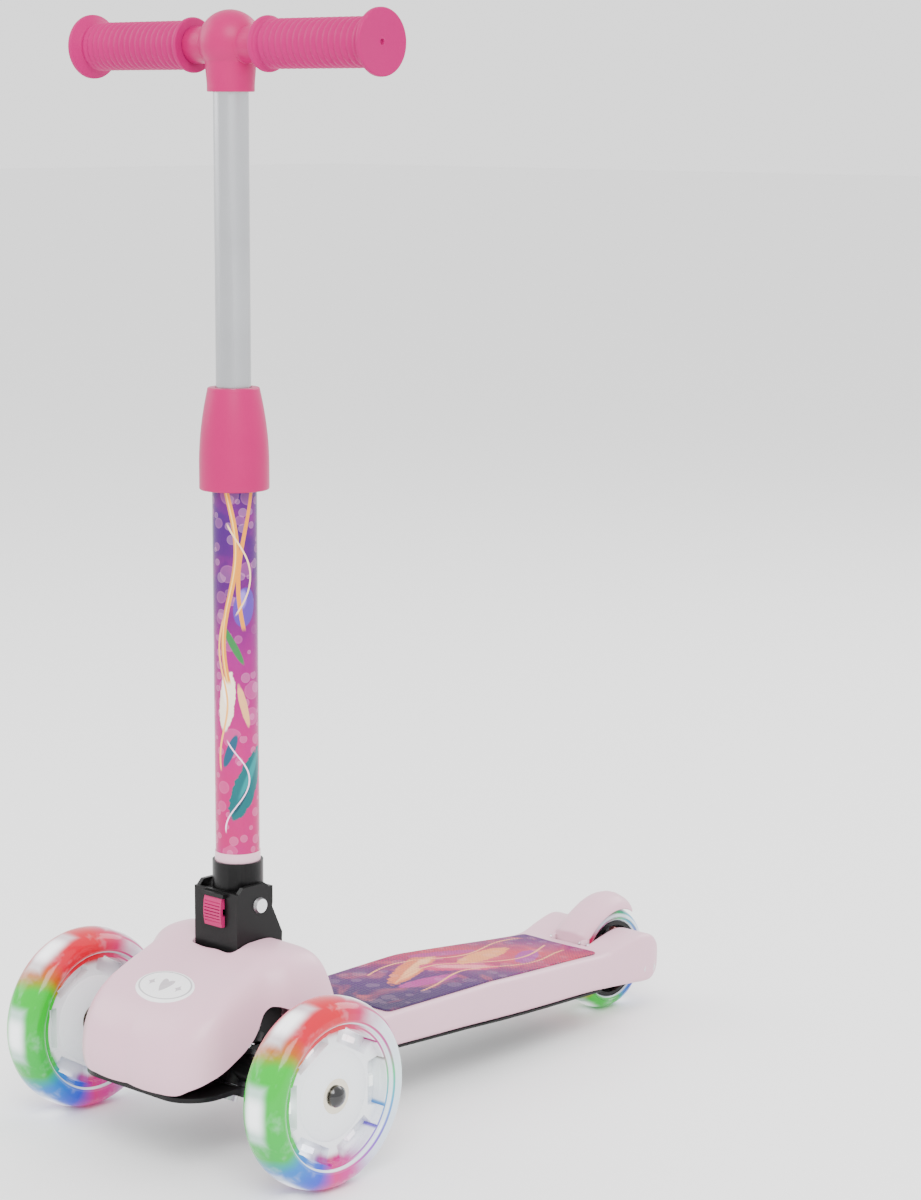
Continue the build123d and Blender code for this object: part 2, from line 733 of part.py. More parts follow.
deck_hollow = deck_block(hollow_end, deck_wall, -5, deck_wall)
with BuildPart() as deck:
    add(deck_block(deck_end, 0, 0, 0))
    add(deck_hollow, mode=Mode.SUBTRACT)
    with BuildSketch(plan_plane(0)):
        with Locations((0, deck_start)):
            Rectangle(2 * (deck_half_widths[0][0] - deck_wall), 2 * deck_wall + 1)
    extrude(amount=deck_ceiling, mode=Mode.SUBTRACT)
    for x, d in boss_places:
        for sign in (1, -1):
            with BuildSketch(Plane(origin=(sign * x, front_y + d, deck_under(d) + liner_h))):
                Circle(boss_outer_r)
            extrude(amount=deck_over(d) - deck_wall / 2 - deck_under(d) - liner_h)
    for x, d in boss_places:
        for sign in (1, -1):
            with BuildSketch(Plane(origin=(sign * x, front_y + d, deck_under(d) - 5))):
                Circle(deck_screw_r)
            extrude(amount=5 + liner_h + deck_screw_length, mode=Mode.SUBTRACT)
    with BuildSketch(plan_plane(0)):
        with Locations((0, bay_start + 50)):
            Rectangle(2 * bay_half_w, 100)
    extrude(amount=pivot_z, mode=Mode.SUBTRACT)
    with BuildSketch(along_x(0, rear_y, rear_wheel_r)):
        Circle(axle_r)
    extrude(amount=lobe_half_w, both=True, mode=Mode.SUBTRACT)
    with BuildSketch(along_x(0, front_y + brake_pin_behind, brake_pin_z)):
        Circle(brake_pin_r)
    extrude(amount=brake_pin_half_l, both=True, mode=Mode.SUBTRACT)
save(deck.part, "deck")

with BuildPart() as deck_liner:
    add(deck_block(deck_end, 0, -liner_h, liner_inset))
    add(deck_block(deck_end, -20, 0, 0), mode=Mode.SUBTRACT)
    with BuildSketch(plan_plane(0)):
        with Locations((0, bay_start + 50)):
            Rectangle(2 * (bay_half_w + liner_inset), 100)
        with Locations((0, hollow_end + 50)):
            Rectangle(300, 100)
    extrude(amount=pivot_z, mode=Mode.SUBTRACT)
    for x, d in boss_places:
        with BuildSketch(plan_plane(0)):
            with Locations((x, d), (-x, d)):
                Circle(boss_outer_r + 0.5)
        extrude(amount=pivot_z, mode=Mode.SUBTRACT)
save(deck_liner.part, "deck_liner")

with BuildPart() as grip_mat:
    mat_rear = mat_half_widths[-1]
    with BuildSketch(side_plane):
        with BuildLine():
            upper = [(deck_start, mat_top), (deck_bend, mat_top), (deck_slope_end, deck_low_top + mat_h)]
            lower = [(d, z - mat_h) for d, z in upper]
            Polyline(*upper, *reversed(lower), close=True)
        make_face()
    extrude(amount=lobe_half_w, both=True)
    with BuildSketch(plan_plane(0)):
        with BuildLine():
            Spline(*mat_half_widths)
            Spline(*[(-w, d) for w, d in mat_half_widths])
            Line(mat_half_widths[0], (-mat_half_widths[0][0], mat_half_widths[0][1]))
            ThreePointArc(mat_rear, (0, mat_rear[1] - mat_rear_bow), (-mat_rear[0], mat_rear[1]))
        make_face()
    extrude(amount=pivot_z, mode=Mode.INTERSECT)
save(grip_mat.part, "grip_mat")

with BuildPart() as deck_screws:
    for x, d in boss_places:
        for sign in (1, -1):
            seat = Plane(origin=(sign * x, front_y + d, deck_under(d) + liner_h))
            with BuildSketch(seat):
                Circle(deck_screw_r)
            extrude(amount=deck_screw_length - 2)
            with BuildSketch(seat):
                Circle(deck_screw_head_r)
            extrude(amount=-deck_screw_head_h)
save(deck_screws.part, "deck_screws")

# ---------------------------------------------------------------- rear axle and brake
rail_outer = deck_half_widths[-1][0]
with BuildPart() as rear_axle:
    with BuildSketch(along_x(-rail_outer, rear_y, rear_wheel_r)):
        Circle(axle_r)
    extrude(amount=2 * rail_outer + axle_head_h)
    with BuildSketch(along_x(-rail_outer - axle_head_seat, rear_y, rear_wheel_r)):
        Circle(axle_head_r)
    extrude(amount=-axle_head_h)
    with BuildSketch(along_x(-rail_outer - axle_head_seat, rear_y, rear_wheel_r)):
        Circle(axle_r)
    extrude(amount=2 * axle_head_seat)
save(rear_axle.part, "rear_axle")

with BuildPart() as rear_axle_nut:
    with BuildSketch(along_x(rail_outer + axle_head_seat, rear_y, rear_wheel_r)):
        RegularPolygon(axle_head_r, 6)
        Circle(axle_r, mode=Mode.SUBTRACT)
    extrude(amount=axle_head_h)
save(rear_axle_nut.part, "rear_axle_nut")

with BuildPart() as axle_bushes:
    for sign in (1, -1):
        with BuildSketch(along_x(sign * (rear_hub_half_w + free_gap), rear_y, rear_wheel_r)):
            Circle(bush_r)
            Circle(axle_r, mode=Mode.SUBTRACT)
        extrude(amount=sign * (bay_half_w - rear_hub_half_w - free_gap))
save(axle_bushes.part, "axle_bushes")

with BuildPart() as brake_hinge_pin:
    with BuildSketch(along_x(-brake_pin_half_l, front_y + brake_pin_behind, brake_pin_z)):
        Circle(brake_pin_r)
    extrude(amount=2 * brake_pin_half_l)
save(brake_hinge_pin.part, "brake_hinge_pin")

under_r = rear_wheel_r + fender_gap


def on_wheel(radius, angle):
    """A point round the rear wheel's centre, as distance behind the front axle and height."""
    return (wheelbase + radius * cos(radians(angle)), rear_wheel_r + radius * sin(radians(angle)))


toe = on_wheel(under_r, fender_arc[1])
heel = on_wheel(under_r, fender_arc[0])
fender_back = [on_wheel(under_r + wall, angle) for angle, wall in fender_wall]
ear_h = toe[1] - brake_pin_z + fender_ear
with BuildPart() as brake_fender:
    with BuildSketch(side_plane):
        with BuildLine():
            Line(toe, (fender_front, toe[1]))
            Line((fender_front, toe[1]), (fender_front, toe[1] + fender_lip_h))
            Spline((fender_front, toe[1] + fender_lip_h), *fender_back)
            Line(fender_back[-1], heel)
            ThreePointArc(heel, on_wheel(under_r, sum(fender_arc) / 2), toe)
        make_face()
    extrude(amount=fender_half_w, both=True)
    for sign in (1, -1):
        ear_x = sign * (fender_half_w - fender_ear)
        with BuildSketch(along_x(ear_x, front_y + brake_pin_behind, brake_pin_z)):
            Circle(fender_ear_r)
            with Locations((0, ear_h / 2)):
                Rectangle(2 * fender_ear_r, ear_h)
        extrude(amount=sign * fender_ear)
    with BuildSketch(along_x(0, front_y + brake_pin_behind, brake_pin_z)):
        Circle(brake_pin_r + running)
    extrude(amount=fender_half_w + 1, both=True, mode=Mode.SUBTRACT)
save(brake_fender.part, "brake_fender")

pad_low, pad_high = pad_arc
pad_r = under_r - pad_h
with BuildPart() as brake_pad:
    with BuildSketch(side_plane):
        with BuildLine():
            ThreePointArc(on_wheel(under_r, pad_low), on_wheel(under_r, 90), on_wheel(under_r, pad_high))
            Line(on_wheel(under_r, pad_high), on_wheel(pad_r, pad_high))
            ThreePointArc(on_wheel(pad_r, pad_high), on_wheel(pad_r, 90), on_wheel(pad_r, pad_low))
            Line(on_wheel(pad_r, pad_low), on_wheel(under_r, pad_low))
        make_face()
    extrude(amount=pad_half_w, both=True)
save(brake_pad.part, "brake_pad")

brake_spring_start = pad_half_w + free_gap
brake_spring = coil(Plane(origin=(brake_spring_start, front_y + brake_pin_behind, brake_pin_z),
                          x_dir=(0, 1, 0), z_dir=(1, 0, 0)),
                    brake_spring_wire_r, brake_spring_r, brake_spring_pitch, brake_spring_length)
save(brake_spring, "brake_spring")

# ---------------------------------------------------------------- folding joint
button_middle = (button_low + button_high) / 2
bar_front = bracket_front - bracket_web_t
bar_back = bar_front - spring_bar_t
bracket_rear = bracket_back - bracket_foot
bracket_screw_grid = GridLocations(*bracket_screw_pitch, 2, 2)
with BuildPart() as fold_bracket:
    for sign in (1, -1):
        with BuildSketch(Plane(origin=(sign * cheek_inner, stem_y, 0), x_dir=(0, 1, 0), z_dir=(1, 0, 0))):
            with BuildLine():
                Polyline((-bracket_front, tower_top), (-bracket_front, cheek_top - cheek_chamfer),
                         (cheek_flat[0], cheek_top), (cheek_flat[1], cheek_top),
                         (bracket_back, tower_top + gusset_low), (bracket_rear, tower_top), close=True)
            make_face()
        extrude(amount=sign * cheek_t)
    with BuildSketch(stem_plane(tower_top)):
        with Locations((0, (bracket_rear - bracket_front) / 2)):
            Rectangle(2 * cheek_outer, bracket_front + bracket_rear)
    extrude(amount=bracket_base_h)
    with BuildSketch(stem_plane(tower_top)):
        with Locations((0, bracket_web_t / 2 - bracket_front)):
            Rectangle(2 * cheek_outer, bracket_web_t)
    extrude(amount=button_high + free_gap + hood_h + 1 - tower_top)
    with BuildSketch(stem_plane(button_low - free_gap)):
        with Locations((0, -bracket_front)):
            Rectangle(2 * (button_half_w + free_gap), socket_r)
    extrude(amount=button_high - button_low + 2 * free_gap, mode=Mode.SUBTRACT)
    with BuildSketch(stem_plane(button_high + free_gap)):
        with Locations((0, -bracket_front - hood_reach / 2)):
            Rectangle(2 * (button_half_w + hood_side), hood_reach)
    extrude(amount=hood_h)
    with BuildSketch(stem_plane(button_middle - spring_bar_half_h)):
        with Locations((0, -bar_back - spring_bar_t / 2)):
            Rectangle(2 * cheek_outer, spring_bar_t)
    extrude(amount=2 * spring_bar_half_h)
    with BuildSketch(along_x(0, stem_y, pivot_z)):
        Circle(pivot_r)
    extrude(amount=cheek_outer + 1, both=True, mode=Mode.SUBTRACT)
    with BuildSketch(stem_plane(tower_top - 1)):
        with bracket_screw_grid:
            Circle(bracket_screw_r)
    extrude(amount=bracket_base_h + 2, mode=Mode.SUBTRACT)
save(fold_bracket.part, "fold_bracket")

with BuildPart() as bracket_screws:
    with BuildSketch(stem_plane(tower_top)):
        with bracket_screw_grid:
            Circle(bracket_screw_r)
    extrude(amount=bracket_base_h)
    with BuildSketch(stem_plane(bracket_base_top)):
        with bracket_screw_grid:
            Circle(bracket_screw_head_r)
    extrude(amount=bracket_screw_head_h)
save(bracket_screws.part, "bracket_screws")

with BuildPart() as pivot_bolt:
    with BuildSketch(along_x(-cheek_outer - pivot_tail, stem_y, pivot_z)):
        Circle(pivot_r)
    extrude(amount=2 * cheek_outer + pivot_tail)
    with BuildSketch(along_x(cheek_outer, stem_y, pivot_z)):
        Circle(pivot_head_r)
    extrude(amount=pivot_head_h, taper=pivot_head_slope)
save(pivot_bolt.part, "pivot_bolt")

with BuildPart() as pivot_nut:
    with BuildSketch(along_x(-cheek_outer, stem_y, pivot_z)):
        RegularPolygon(pivot_nut_r, 6)
        Circle(pivot_r, mode=Mode.SUBTRACT)
    extrude(amount=-pivot_nut_h)
save(pivot_nut.part, "pivot_nut")

groove_floor = button_front - button_groove
groove_half_h = spring_bar_half_h + free_gap
rib_pitch = (button_high - button_low) / (button_ribs + 1)
with BuildPart() as fold_button:
    with BuildSketch(stem_side):
        with BuildLine():
            Polyline((-button_front + button_bulge, button_low), (-button_back, button_low),
                     (-button_back, button_high), (-button_front + button_bulge, button_high))
            ThreePointArc((-button_front + button_bulge, button_high), (-button_front, button_middle),
                          (-button_front + button_bulge, button_low))
        make_face()
    extrude(amount=button_half_w, both=True)
    for i in range(button_ribs + 1):
        with BuildSketch(stem_plane(button_low + (i + 0.5) * rib_pitch - button_rib_h / 2)):
            with Locations((0, 0.2 - button_front)):
                Rectangle(2 * button_half_w - 2, 2 * button_rib_h)
        extrude(amount=button_rib_h, mode=Mode.SUBTRACT)
    with BuildSketch(stem_plane(button_middle - groove_half_h)):
        with Locations((0, -groove_floor + button_half_w)):
            Rectangle(2 * button_half_w + 2, 2 * button_half_w)
    extrude(amount=2 * groove_half_h, mode=Mode.SUBTRACT)
save(fold_button.part, "fold_button")

button_spring_wire_r = 0.3
button_spring_end_gap = 0.5
button_spring = coil(Plane(origin=(0, stem_y - bar_front - button_spring_end_gap, button_middle),
                           x_dir=(1, 0, 0), z_dir=(0, -1, 0)),
                     button_spring_wire_r, 1.5, 0.9, groove_floor - bar_front - 2 * button_spring_end_gap)
save(button_spring, "button_spring")


def rivet_plane(reach):
    """An upright plane across the rivet, a distance behind the upright's axis."""
    return Plane(origin=(0, stem_y + reach, rivet_z), x_dir=(1, 0, 0), z_dir=(0, 1, 0))


with BuildPart() as stem_socket:
    with BuildSketch(stem_plane(socket_round_start)):
        Circle(socket_r)
    extrude(amount=socket_top - socket_round_start)
    with BuildSketch(stem_side):
        with Locations((0, pivot_z)):
            Circle(tongue_r)
        with Locations((0, (pivot_z + socket_round_start) / 2)):
            Rectangle(2 * tongue_r, socket_round_start - pivot_z)
    extrude(amount=socket_r, both=True)
    with BuildSketch(stem_plane(tube_bottom)):
        Circle(tube_r)
    extrude(amount=socket_top - tube_bottom + 1, mode=Mode.SUBTRACT)
    with BuildSketch(along_x(0, stem_y, pivot_z)):
        Circle(pivot_r + running)
    extrude(amount=socket_r + 1, both=True, mode=Mode.SUBTRACT)
    with BuildSketch(rivet_plane(0)):
        Circle(rivet_r)
    extrude(amount=socket_r + 1, mode=Mode.SUBTRACT)
save(stem_socket.part, "stem_socket")

# ---------------------------------------------------------------- upright
tube_inner = tube_r - tube_wall


def sleeve(inner, outer, low, high):
    """A plain tube about the upright's axis."""
    with BuildPart() as body:
        with BuildSketch(stem_plane(low)):
            Circle(outer)
            Circle(inner, mode=Mode.SUBTRACT)
        extrude(amount=high - low)
    return body.part


with BuildPart() as lower_tube:
    add(sleeve(tube_inner, tube_r, tube_bottom, tube_top))
    with BuildSketch(rivet_plane(0)):
        Circle(rivet_r)
    extrude(amount=socket_r + 1, mode=Mode.SUBTRACT)
save(lower_tube.part, "lower_tube")

with BuildPart() as tube_rivet:
    with BuildSketch(rivet_plane(tube_inner + free_gap)):
        Circle(rivet_r)
    extrude(amount=socket_wall + tube_wall - free_gap + rivet_head_h)
save(tube_rivet.part, "tube_rivet")

save(sleeve(tube_r, tube_r + film_t, film_bottom, collar_bottom), "stem_decal")
save(sleeve(tube_r, tube_r + liner_ring_t, socket_top, film_bottom), "tube_liner")

collar_skirt_top = (collar_r, collar_bottom + collar_skirt_h)
collar_curve = [(collar_r - drop, collar_bottom + height) for height, drop in collar_neck]
collar_rim = (collar_r - collar_mouth, collar_top)
cavity_top = insert_top + free_gap
neck = upper_r + free_gap
bore = tube_r + running
with BuildPart() as clamp_collar:
    with BuildSketch(stem_side):
        with BuildLine():
            Polyline((bore, collar_bottom), (collar_r - collar_chamfer[0], collar_bottom),
                     (collar_r, collar_bottom + collar_chamfer[1]), collar_skirt_top)
            Spline(collar_skirt_top, *collar_curve, collar_rim)
            Polyline(collar_rim, (neck, collar_top), (neck, cavity_top), (bore, cavity_top),
                     (bore, collar_bottom))
        make_face()
    revolve(axis=stem_axis)
save(clamp_collar.part, "clamp_collar")

with BuildPart() as collar_insert:
    add(sleeve(upper_r + running, tube_inner, insert_bottom, tube_top))
    add(sleeve(upper_r + running, tube_r - 0.3, tube_top, insert_top))
    with BuildSketch(stem_plane(insert_bottom)):
        with Locations((0, tube_r)):
            Rectangle(insert_slit, 2 * upper_r)
    extrude(amount=insert_top - insert_bottom, mode=Mode.SUBTRACT)
save(collar_insert.part, "collar_insert")

hub_seat = hub_bottom + hub_tube_depth
save(sleeve(upper_r - upper_wall, upper_r, upper_bottom, hub_seat), "upper_tube")
save(sleeve(upper_r, tube_inner - running, upper_bottom, upper_bottom + bushing_h), "tube_bushing")

# ---------------------------------------------------------------- handlebar
join = (sqrt(ball_r ** 2 - ball_blend_drop ** 2), ball_z - ball_blend_drop)
skirt = (hub_skirt_r + hub_skirt_flare[0], hub_bottom + hub_skirt_flare[1])
hub_screw_plane = Plane(origin=(0, stem_y + upper_r, hub_bottom + hub_screw_rise),
                        x_dir=(1, 0, 0), z_dir=(0, 1, 0))
with BuildPart() as handlebar_hub:
    with BuildSketch(stem_side):
        with BuildLine():
            Line((0, hub_bottom), (hub_skirt_r, hub_bottom))
            Spline((hub_skirt_r, hub_bottom), skirt, join, tangents=((0, 1), (0.5, 1)))
            ThreePointArc(join, (ball_r * cos(0.3), ball_z + ball_r * sin(0.3)), (0, ball_z + ball_r))
            Line((0, ball_z + ball_r), (0, hub_bottom))
        make_face()
    revolve(axis=stem_axis)
    with BuildSketch(along_x(-stub_end, stem_y, bar_z)):
        Circle(stub_r)
    extrude(amount=2 * stub_end)
    with BuildSketch(along_x(-stub_end - 1, stem_y, bar_z)):
        Circle(bar_r)
    extrude(amount=2 * stub_end + 2, mode=Mode.SUBTRACT)
    with BuildSketch(stem_plane(hub_bottom - 1)):
        Circle(upper_r)
    extrude(amount=hub_tube_depth + 1, mode=Mode.SUBTRACT)
    with BuildSketch(hub_screw_plane):
        Circle(hub_screw_r)
    extrude(amount=hub_skirt_r, mode=Mode.SUBTRACT)
save(handlebar_hub.part, "handlebar_hub")

with BuildPart() as hub_screw:
    with BuildSketch(hub_screw_plane):
        Circle(hub_screw_r)
    extrude(amount=hub_skirt_r - upper_r)
save(hub_screw.part, "hub_screw")

save(ring(0, stem_y, bar_z, bar_r - bar_wall, bar_r, -bar_half_l, bar_half_l), "grip_bar")


def grip(sign):
    """A ribbed soft grip with a small inner flange and a large closed outer flange."""
    flange_start = grip_end - grip_flange_w
    body_end = flange_start - grip_cone
    outline = ((stub_end, bar_r), (stub_end, grip_inner_r - grip_round),
               (stub_end + grip_round, grip_inner_r), (stub_end + 2.2, grip_inner_r),
               (stub_end + 3.5, grip_r), (body_end, grip_r),
               (flange_start, grip_flange_r - 0.4), (flange_start + 0.5, grip_flange_r),
               (grip_end - grip_round, grip_flange_r), (grip_end, grip_flange_r - grip_round),
               (grip_end, grip_hole_r), (grip_end - grip_hole_depth, grip_hole_r),
               (grip_end - grip_hole_depth, 0), (bar_half_l, 0), (bar_half_l, bar_r))
    with BuildPart() as body:
        with BuildSketch(Plane(origin=(0, stem_y, bar_z), x_dir=(sign, 0, 0), z_dir=(0, 0, 1))):
            with BuildLine():
                Polyline(*outline, close=True)
            make_face()
        revolve(axis=Axis((0, stem_y, bar_z), (1, 0, 0)))
        first_rib = stub_end + 6
        pitch = (body_end - first_rib) / grip_ribs
        for i in range(grip_ribs):
            middle = sign * (first_rib + (i + 0.5) * pitch)
            with BuildSketch(along_x(middle - pitch / 4, stem_y, bar_z)):
                Circle(grip_r + grip_rib_h)
                Circle(grip_r - 0.5, mode=Mode.SUBTRACT)
            extrude(amount=pitch / 2)
    return body.part


for side, sign in sides:
    save(grip(sign), f"grip_{side}")
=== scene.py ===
"""A child's folding kick scooter: moulded cover and deck, lit wheels, printed upright and T-bar."""
import json
from math import cos, pi, radians, sin, sqrt

import bmesh
import bpy
import numpy as np
from mathutils import Matrix, Vector


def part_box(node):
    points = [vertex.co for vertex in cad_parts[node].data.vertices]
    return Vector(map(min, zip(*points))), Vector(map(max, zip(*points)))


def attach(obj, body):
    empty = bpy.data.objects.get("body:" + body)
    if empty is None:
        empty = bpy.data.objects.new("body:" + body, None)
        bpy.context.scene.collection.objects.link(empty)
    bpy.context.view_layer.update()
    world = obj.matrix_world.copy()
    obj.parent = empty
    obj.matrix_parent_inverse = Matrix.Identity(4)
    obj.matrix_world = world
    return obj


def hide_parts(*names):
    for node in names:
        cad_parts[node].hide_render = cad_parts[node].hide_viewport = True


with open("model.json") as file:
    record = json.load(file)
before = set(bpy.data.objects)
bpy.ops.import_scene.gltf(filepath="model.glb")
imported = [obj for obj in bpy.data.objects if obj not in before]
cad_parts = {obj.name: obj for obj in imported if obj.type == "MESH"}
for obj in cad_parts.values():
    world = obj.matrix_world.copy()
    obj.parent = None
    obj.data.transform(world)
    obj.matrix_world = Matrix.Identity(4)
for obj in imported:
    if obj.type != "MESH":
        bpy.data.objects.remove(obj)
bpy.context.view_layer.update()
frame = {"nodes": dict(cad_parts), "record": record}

# ---- places read from the frame (metres)
MM = 0.001


def middle(node):
    """Centre of a frame node's box."""
    low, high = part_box(node)
    return (np.array(low) + np.array(high)) / 2


def span(node, axis):
    """Lowest and highest place of a frame node along one axis."""
    low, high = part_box(node)
    return low[axis], high[axis]


axle = middle("front_wheel_left_tyre")
rear_axle = middle("rear_wheel_tyre")
stem_y = middle("upper_tube")[1]
front_y = axle[1]
front_r = axle[2]
rear_r = rear_axle[2]
sides = (("left", 1), ("right", -1))


# ---- surfaces
def fair(points, steps=8):
    """A smooth line through the points: a cubic whose tangents are half the chord between each
    point's neighbours, with steps samples to each stretch."""
    p = np.asarray(points, float)
    slope = (np.vstack([p[1:], p[-1:]]) - np.vstack([p[:1], p[:-1]])) / 2
    t = np.linspace(0, 1, steps, endpoint=False)[None, :, None]
    a, b, c, d = (v[:, None, :] for v in (p[:-1], p[1:], slope[:-1], slope[1:]))
    line = (2 * t ** 3 - 3 * t ** 2 + 1) * a + (3 * t ** 2 - 2 * t ** 3) * b
    line = line + (t ** 3 - 2 * t ** 2 + t) * c + (t ** 3 - t ** 2) * d
    return np.vstack([line.reshape(-1, p.shape[1]), p[-1:]])


def softened(points, radius, steps=5):
    """A straight-sided outline whose corners are rounded: each corner becomes a short parabola that
    starts and ends a radius away from it, or at a side's middle if that is nearer."""
    p = np.asarray(points, float)
    radius = np.broadcast_to(np.asarray(radius, float), (len(p),))
    out = []
    for i, corner in enumerate(p):
        if i in (0, len(p) - 1) or radius[i] == 0:
            out.append(corner[None])
            continue
        legs = []
        for other in (p[i - 1], p[i + 1]):
            reach = np.linalg.norm(other - corner)
            legs.append(corner + (other - corner) * min(radius[i] / reach, 0.48))
        t = np.linspace(0, 1, steps)[:, None]
        out.append((1 - t) ** 2 * legs[0] + 2 * t * (1 - t) * corner + t ** 2 * legs[1])
    return np.vstack(out)


def lathe(profile, centre, axis, turns=96):
    """A profile of (distance along the axis, radius) pairs turned about the axis: every point
    becomes a ring of that radius at that distance."""
    along, radius = np.asarray(profile, float).T
    angle = np.linspace(0, 2 * pi, turns, endpoint=False)
    grid = np.zeros((len(along), len(angle), 3))
    across = {0: (1, 2), 1: (2, 0), 2: (0, 1)}[axis]
    grid[..., axis] = along[:, None]
    grid[..., across[0]] = radius[:, None] * np.cos(angle)
    grid[..., across[1]] = radius[:, None] * np.sin(angle)
    return grid + np.asarray(centre, float)


def quads(rows, columns, wrap_rows, wrap_columns, start=0):
    """Corner numbers of the faces between neighbouring rows and columns of a grid."""
    i = np.arange(rows if wrap_rows else rows - 1)[:, None]
    j = np.arange(columns if wrap_columns else columns - 1)[None, :]
    i2, j2 = (i + 1) % rows, (j + 1) % columns
    corners = [i * columns + j, i2 * columns + j, i2 * columns + j2, i * columns + j2]
    return start + np.stack([np.broadcast_to(c, (i.size, j.size)) for c in corners], -1).reshape(-1, 4)


def mesh_from(name, grids, inside=None):
    """One mesh from grids of points, each given as (points, rows join, columns join), with its
    doubles merged and its faces turned to look away from inside."""
    points, faces, count = [], [], 0
    for grid, wrap_rows, wrap_columns in grids:
        rows, columns = grid.shape[:2]
        faces.append(quads(rows, columns, wrap_rows, wrap_columns, count))
        points.append(grid.reshape(-1, 3))
        count += rows * columns
    points, faces = np.vstack(points), np.vstack(faces)
    mesh = bpy.data.meshes.new(name)
    mesh.from_pydata(points.tolist(), [], faces.tolist())
    work = bmesh.new()
    work.from_mesh(mesh)
    bmesh.ops.remove_doubles(work, verts=work.verts, dist=2e-6)
    bmesh.ops.dissolve_degenerate(work, edges=work.edges, dist=1e-7)
    if inside is None:
        bmesh.ops.recalc_face_normals(work, faces=work.faces)
    else:
        core = Vector(inside)
        looks = sum((f.calc_center_median() - core).dot(f.normal) * f.calc_area() for f in work.faces)
        if looks < 0:
            bmesh.ops.reverse_faces(work, faces=work.faces)
    work.to_mesh(mesh)
    work.free()
    mesh.shade_smooth()
    return mesh


def piece(name, mesh, body, slot, stands_for, sharp=None, made=None):
    """Put a mesh into the scene on its body, with its slot's finish or a material made for it."""
    thing = bpy.data.objects.new(name, mesh)
    bpy.context.scene.collection.objects.link(thing)
    mesh.materials.append(made or finish[slot])
    if sharp is not None:
        mesh.set_sharp_from_angle(angle=radians(sharp))
    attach(thing, body)
    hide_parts(*stands_for)
    return thing


def bevel(thing, width, segments=2, angle=35):
    """Round a piece's hard edges."""
    edge = thing.modifiers.new("Edges", "BEVEL")
    edge.width = width
    edge.segments = segments
    edge.limit_method = "ANGLE"
    edge.angle_limit = radians(angle)


def wall(thing, thickness):
    """Give a sheet its wall, inwards."""
    shell = thing.modifiers.new("Wall", "SOLIDIFY")
    shell.thickness = thickness
    shell.offset = -1


# ---- materials
def plug(tree, value, socket):
    """Give a socket a number or a colour, or join another node's output to it."""
    value = getattr(value, "socket", value)
    if isinstance(value, bpy.types.NodeSocket):
        tree.links.new(value, socket)
    elif socket.type == "RGBA" and len(value) == 3:
        socket.default_value = (*value, 1)
    else:
        socket.default_value = value


class Value:
    """One value in a node tree. The usual signs join it to a number or to another value, and each
    makes one Math node."""

    def __init__(self, tree, socket):
        self.tree, self.socket = tree, socket

    def join(self, operation, *others):
        """The result of one Math node on this value and others."""
        made = self.tree.nodes.new("ShaderNodeMath")
        made.operation = operation
        for value, socket in zip((self, *others), made.inputs):
            plug(self.tree, value, socket)
        return Value(self.tree, made.outputs[0])

    def __add__(self, other):
        return self.join("ADD", other)

    def __sub__(self, other):
        return self.join("SUBTRACT", other)

    def __mul__(self, other):
        return self.join("MULTIPLY", other)

    def __truediv__(self, other):
        return self.join("DIVIDE", other)

    def __pow__(self, other):
        return self.join("POWER", other)

    def __abs__(self):
        return self.join("ABSOLUTE")


def group(name, inputs, outputs):
    """An empty shared effect with its named values in and out."""
    tree = bpy.data.node_groups.new(name, "ShaderNodeTree")
    for label, value in inputs.items():
        socket = tree.interface.new_socket(label, in_out="INPUT", socket_type="NodeSocketFloat")
        socket.default_value = value
    for label in outputs:
        tree.interface.new_socket(label, in_out="OUTPUT", socket_type="NodeSocketFloat")
    return tree, tree.nodes.new("NodeGroupInput").outputs, tree.nodes.new("NodeGroupOutput").inputs


def add(tree, kind, settings=None, **inputs):
    """A node with its settings, and its inputs set to numbers or joined to other nodes' outputs."""
    made = tree.nodes.new(kind)
    for key, value in (settings or {}).items():
        setattr(made, key, value)
    for key, value in inputs.items():
        plug(tree, value, made.inputs[key.replace("_", " ")])
    return made


def remap(value, low, high, to_low=0.0, to_high=1.0, smooth=True):
    """A value carried from one range to another, held at its ends."""
    curve = {"interpolation_type": "SMOOTHSTEP" if smooth else "LINEAR"}
    made = add(value.tree, "ShaderNodeMapRange", curve, Value=value, From_Min=low, From_Max=high,
               To_Min=to_low, To_Max=to_high)
    return Value(value.tree, made.outputs["Result"])


def noise(tree, place, size, detail=2.0, roughness=0.5, twist=0.0):
    """Drifting noise from 0 to 1."""
    made = add(tree, "ShaderNodeTexNoise", Vector=place, Scale=size, Detail=detail, Roughness=roughness,
               Distortion=twist)
    return Value(tree, made.outputs["Fac"])


def blend_colour(tree, factor, first, second):
    """Two colours mixed by a factor."""
    made = tree.nodes.new("ShaderNodeMix")
    made.data_type = "RGBA"
    for value, place in ((factor, 0), (first, 6), (second, 7)):
        plug(tree, value, made.inputs[place])
    return made.outputs[2]


def ramp(tree, value, stops):
    """Colours along a value."""
    made = add(tree, "ShaderNodeValToRGB", Fac=value)
    band = made.color_ramp.elements
    while len(band) < len(stops):
        band.new(0.5)
    for stop, (place, colour) in zip(band, stops):
        stop.position = place
        stop.color = (*colour, 1)
    return made.outputs["Color"]


def axes(tree, shift=(0, 0, 0)):
    """Object coordinates about a point, as one vector and as its three values."""
    place = add(tree, "ShaderNodeTexCoord").outputs["Object"]
    moved = add(tree, "ShaderNodeMapping", Vector=place, Location=tuple(-c for c in shift)).outputs[0]
    split = add(tree, "ShaderNodeSeparateXYZ", Vector=moved).outputs
    return moved, *(Value(tree, split[axis]) for axis in "XYZ")


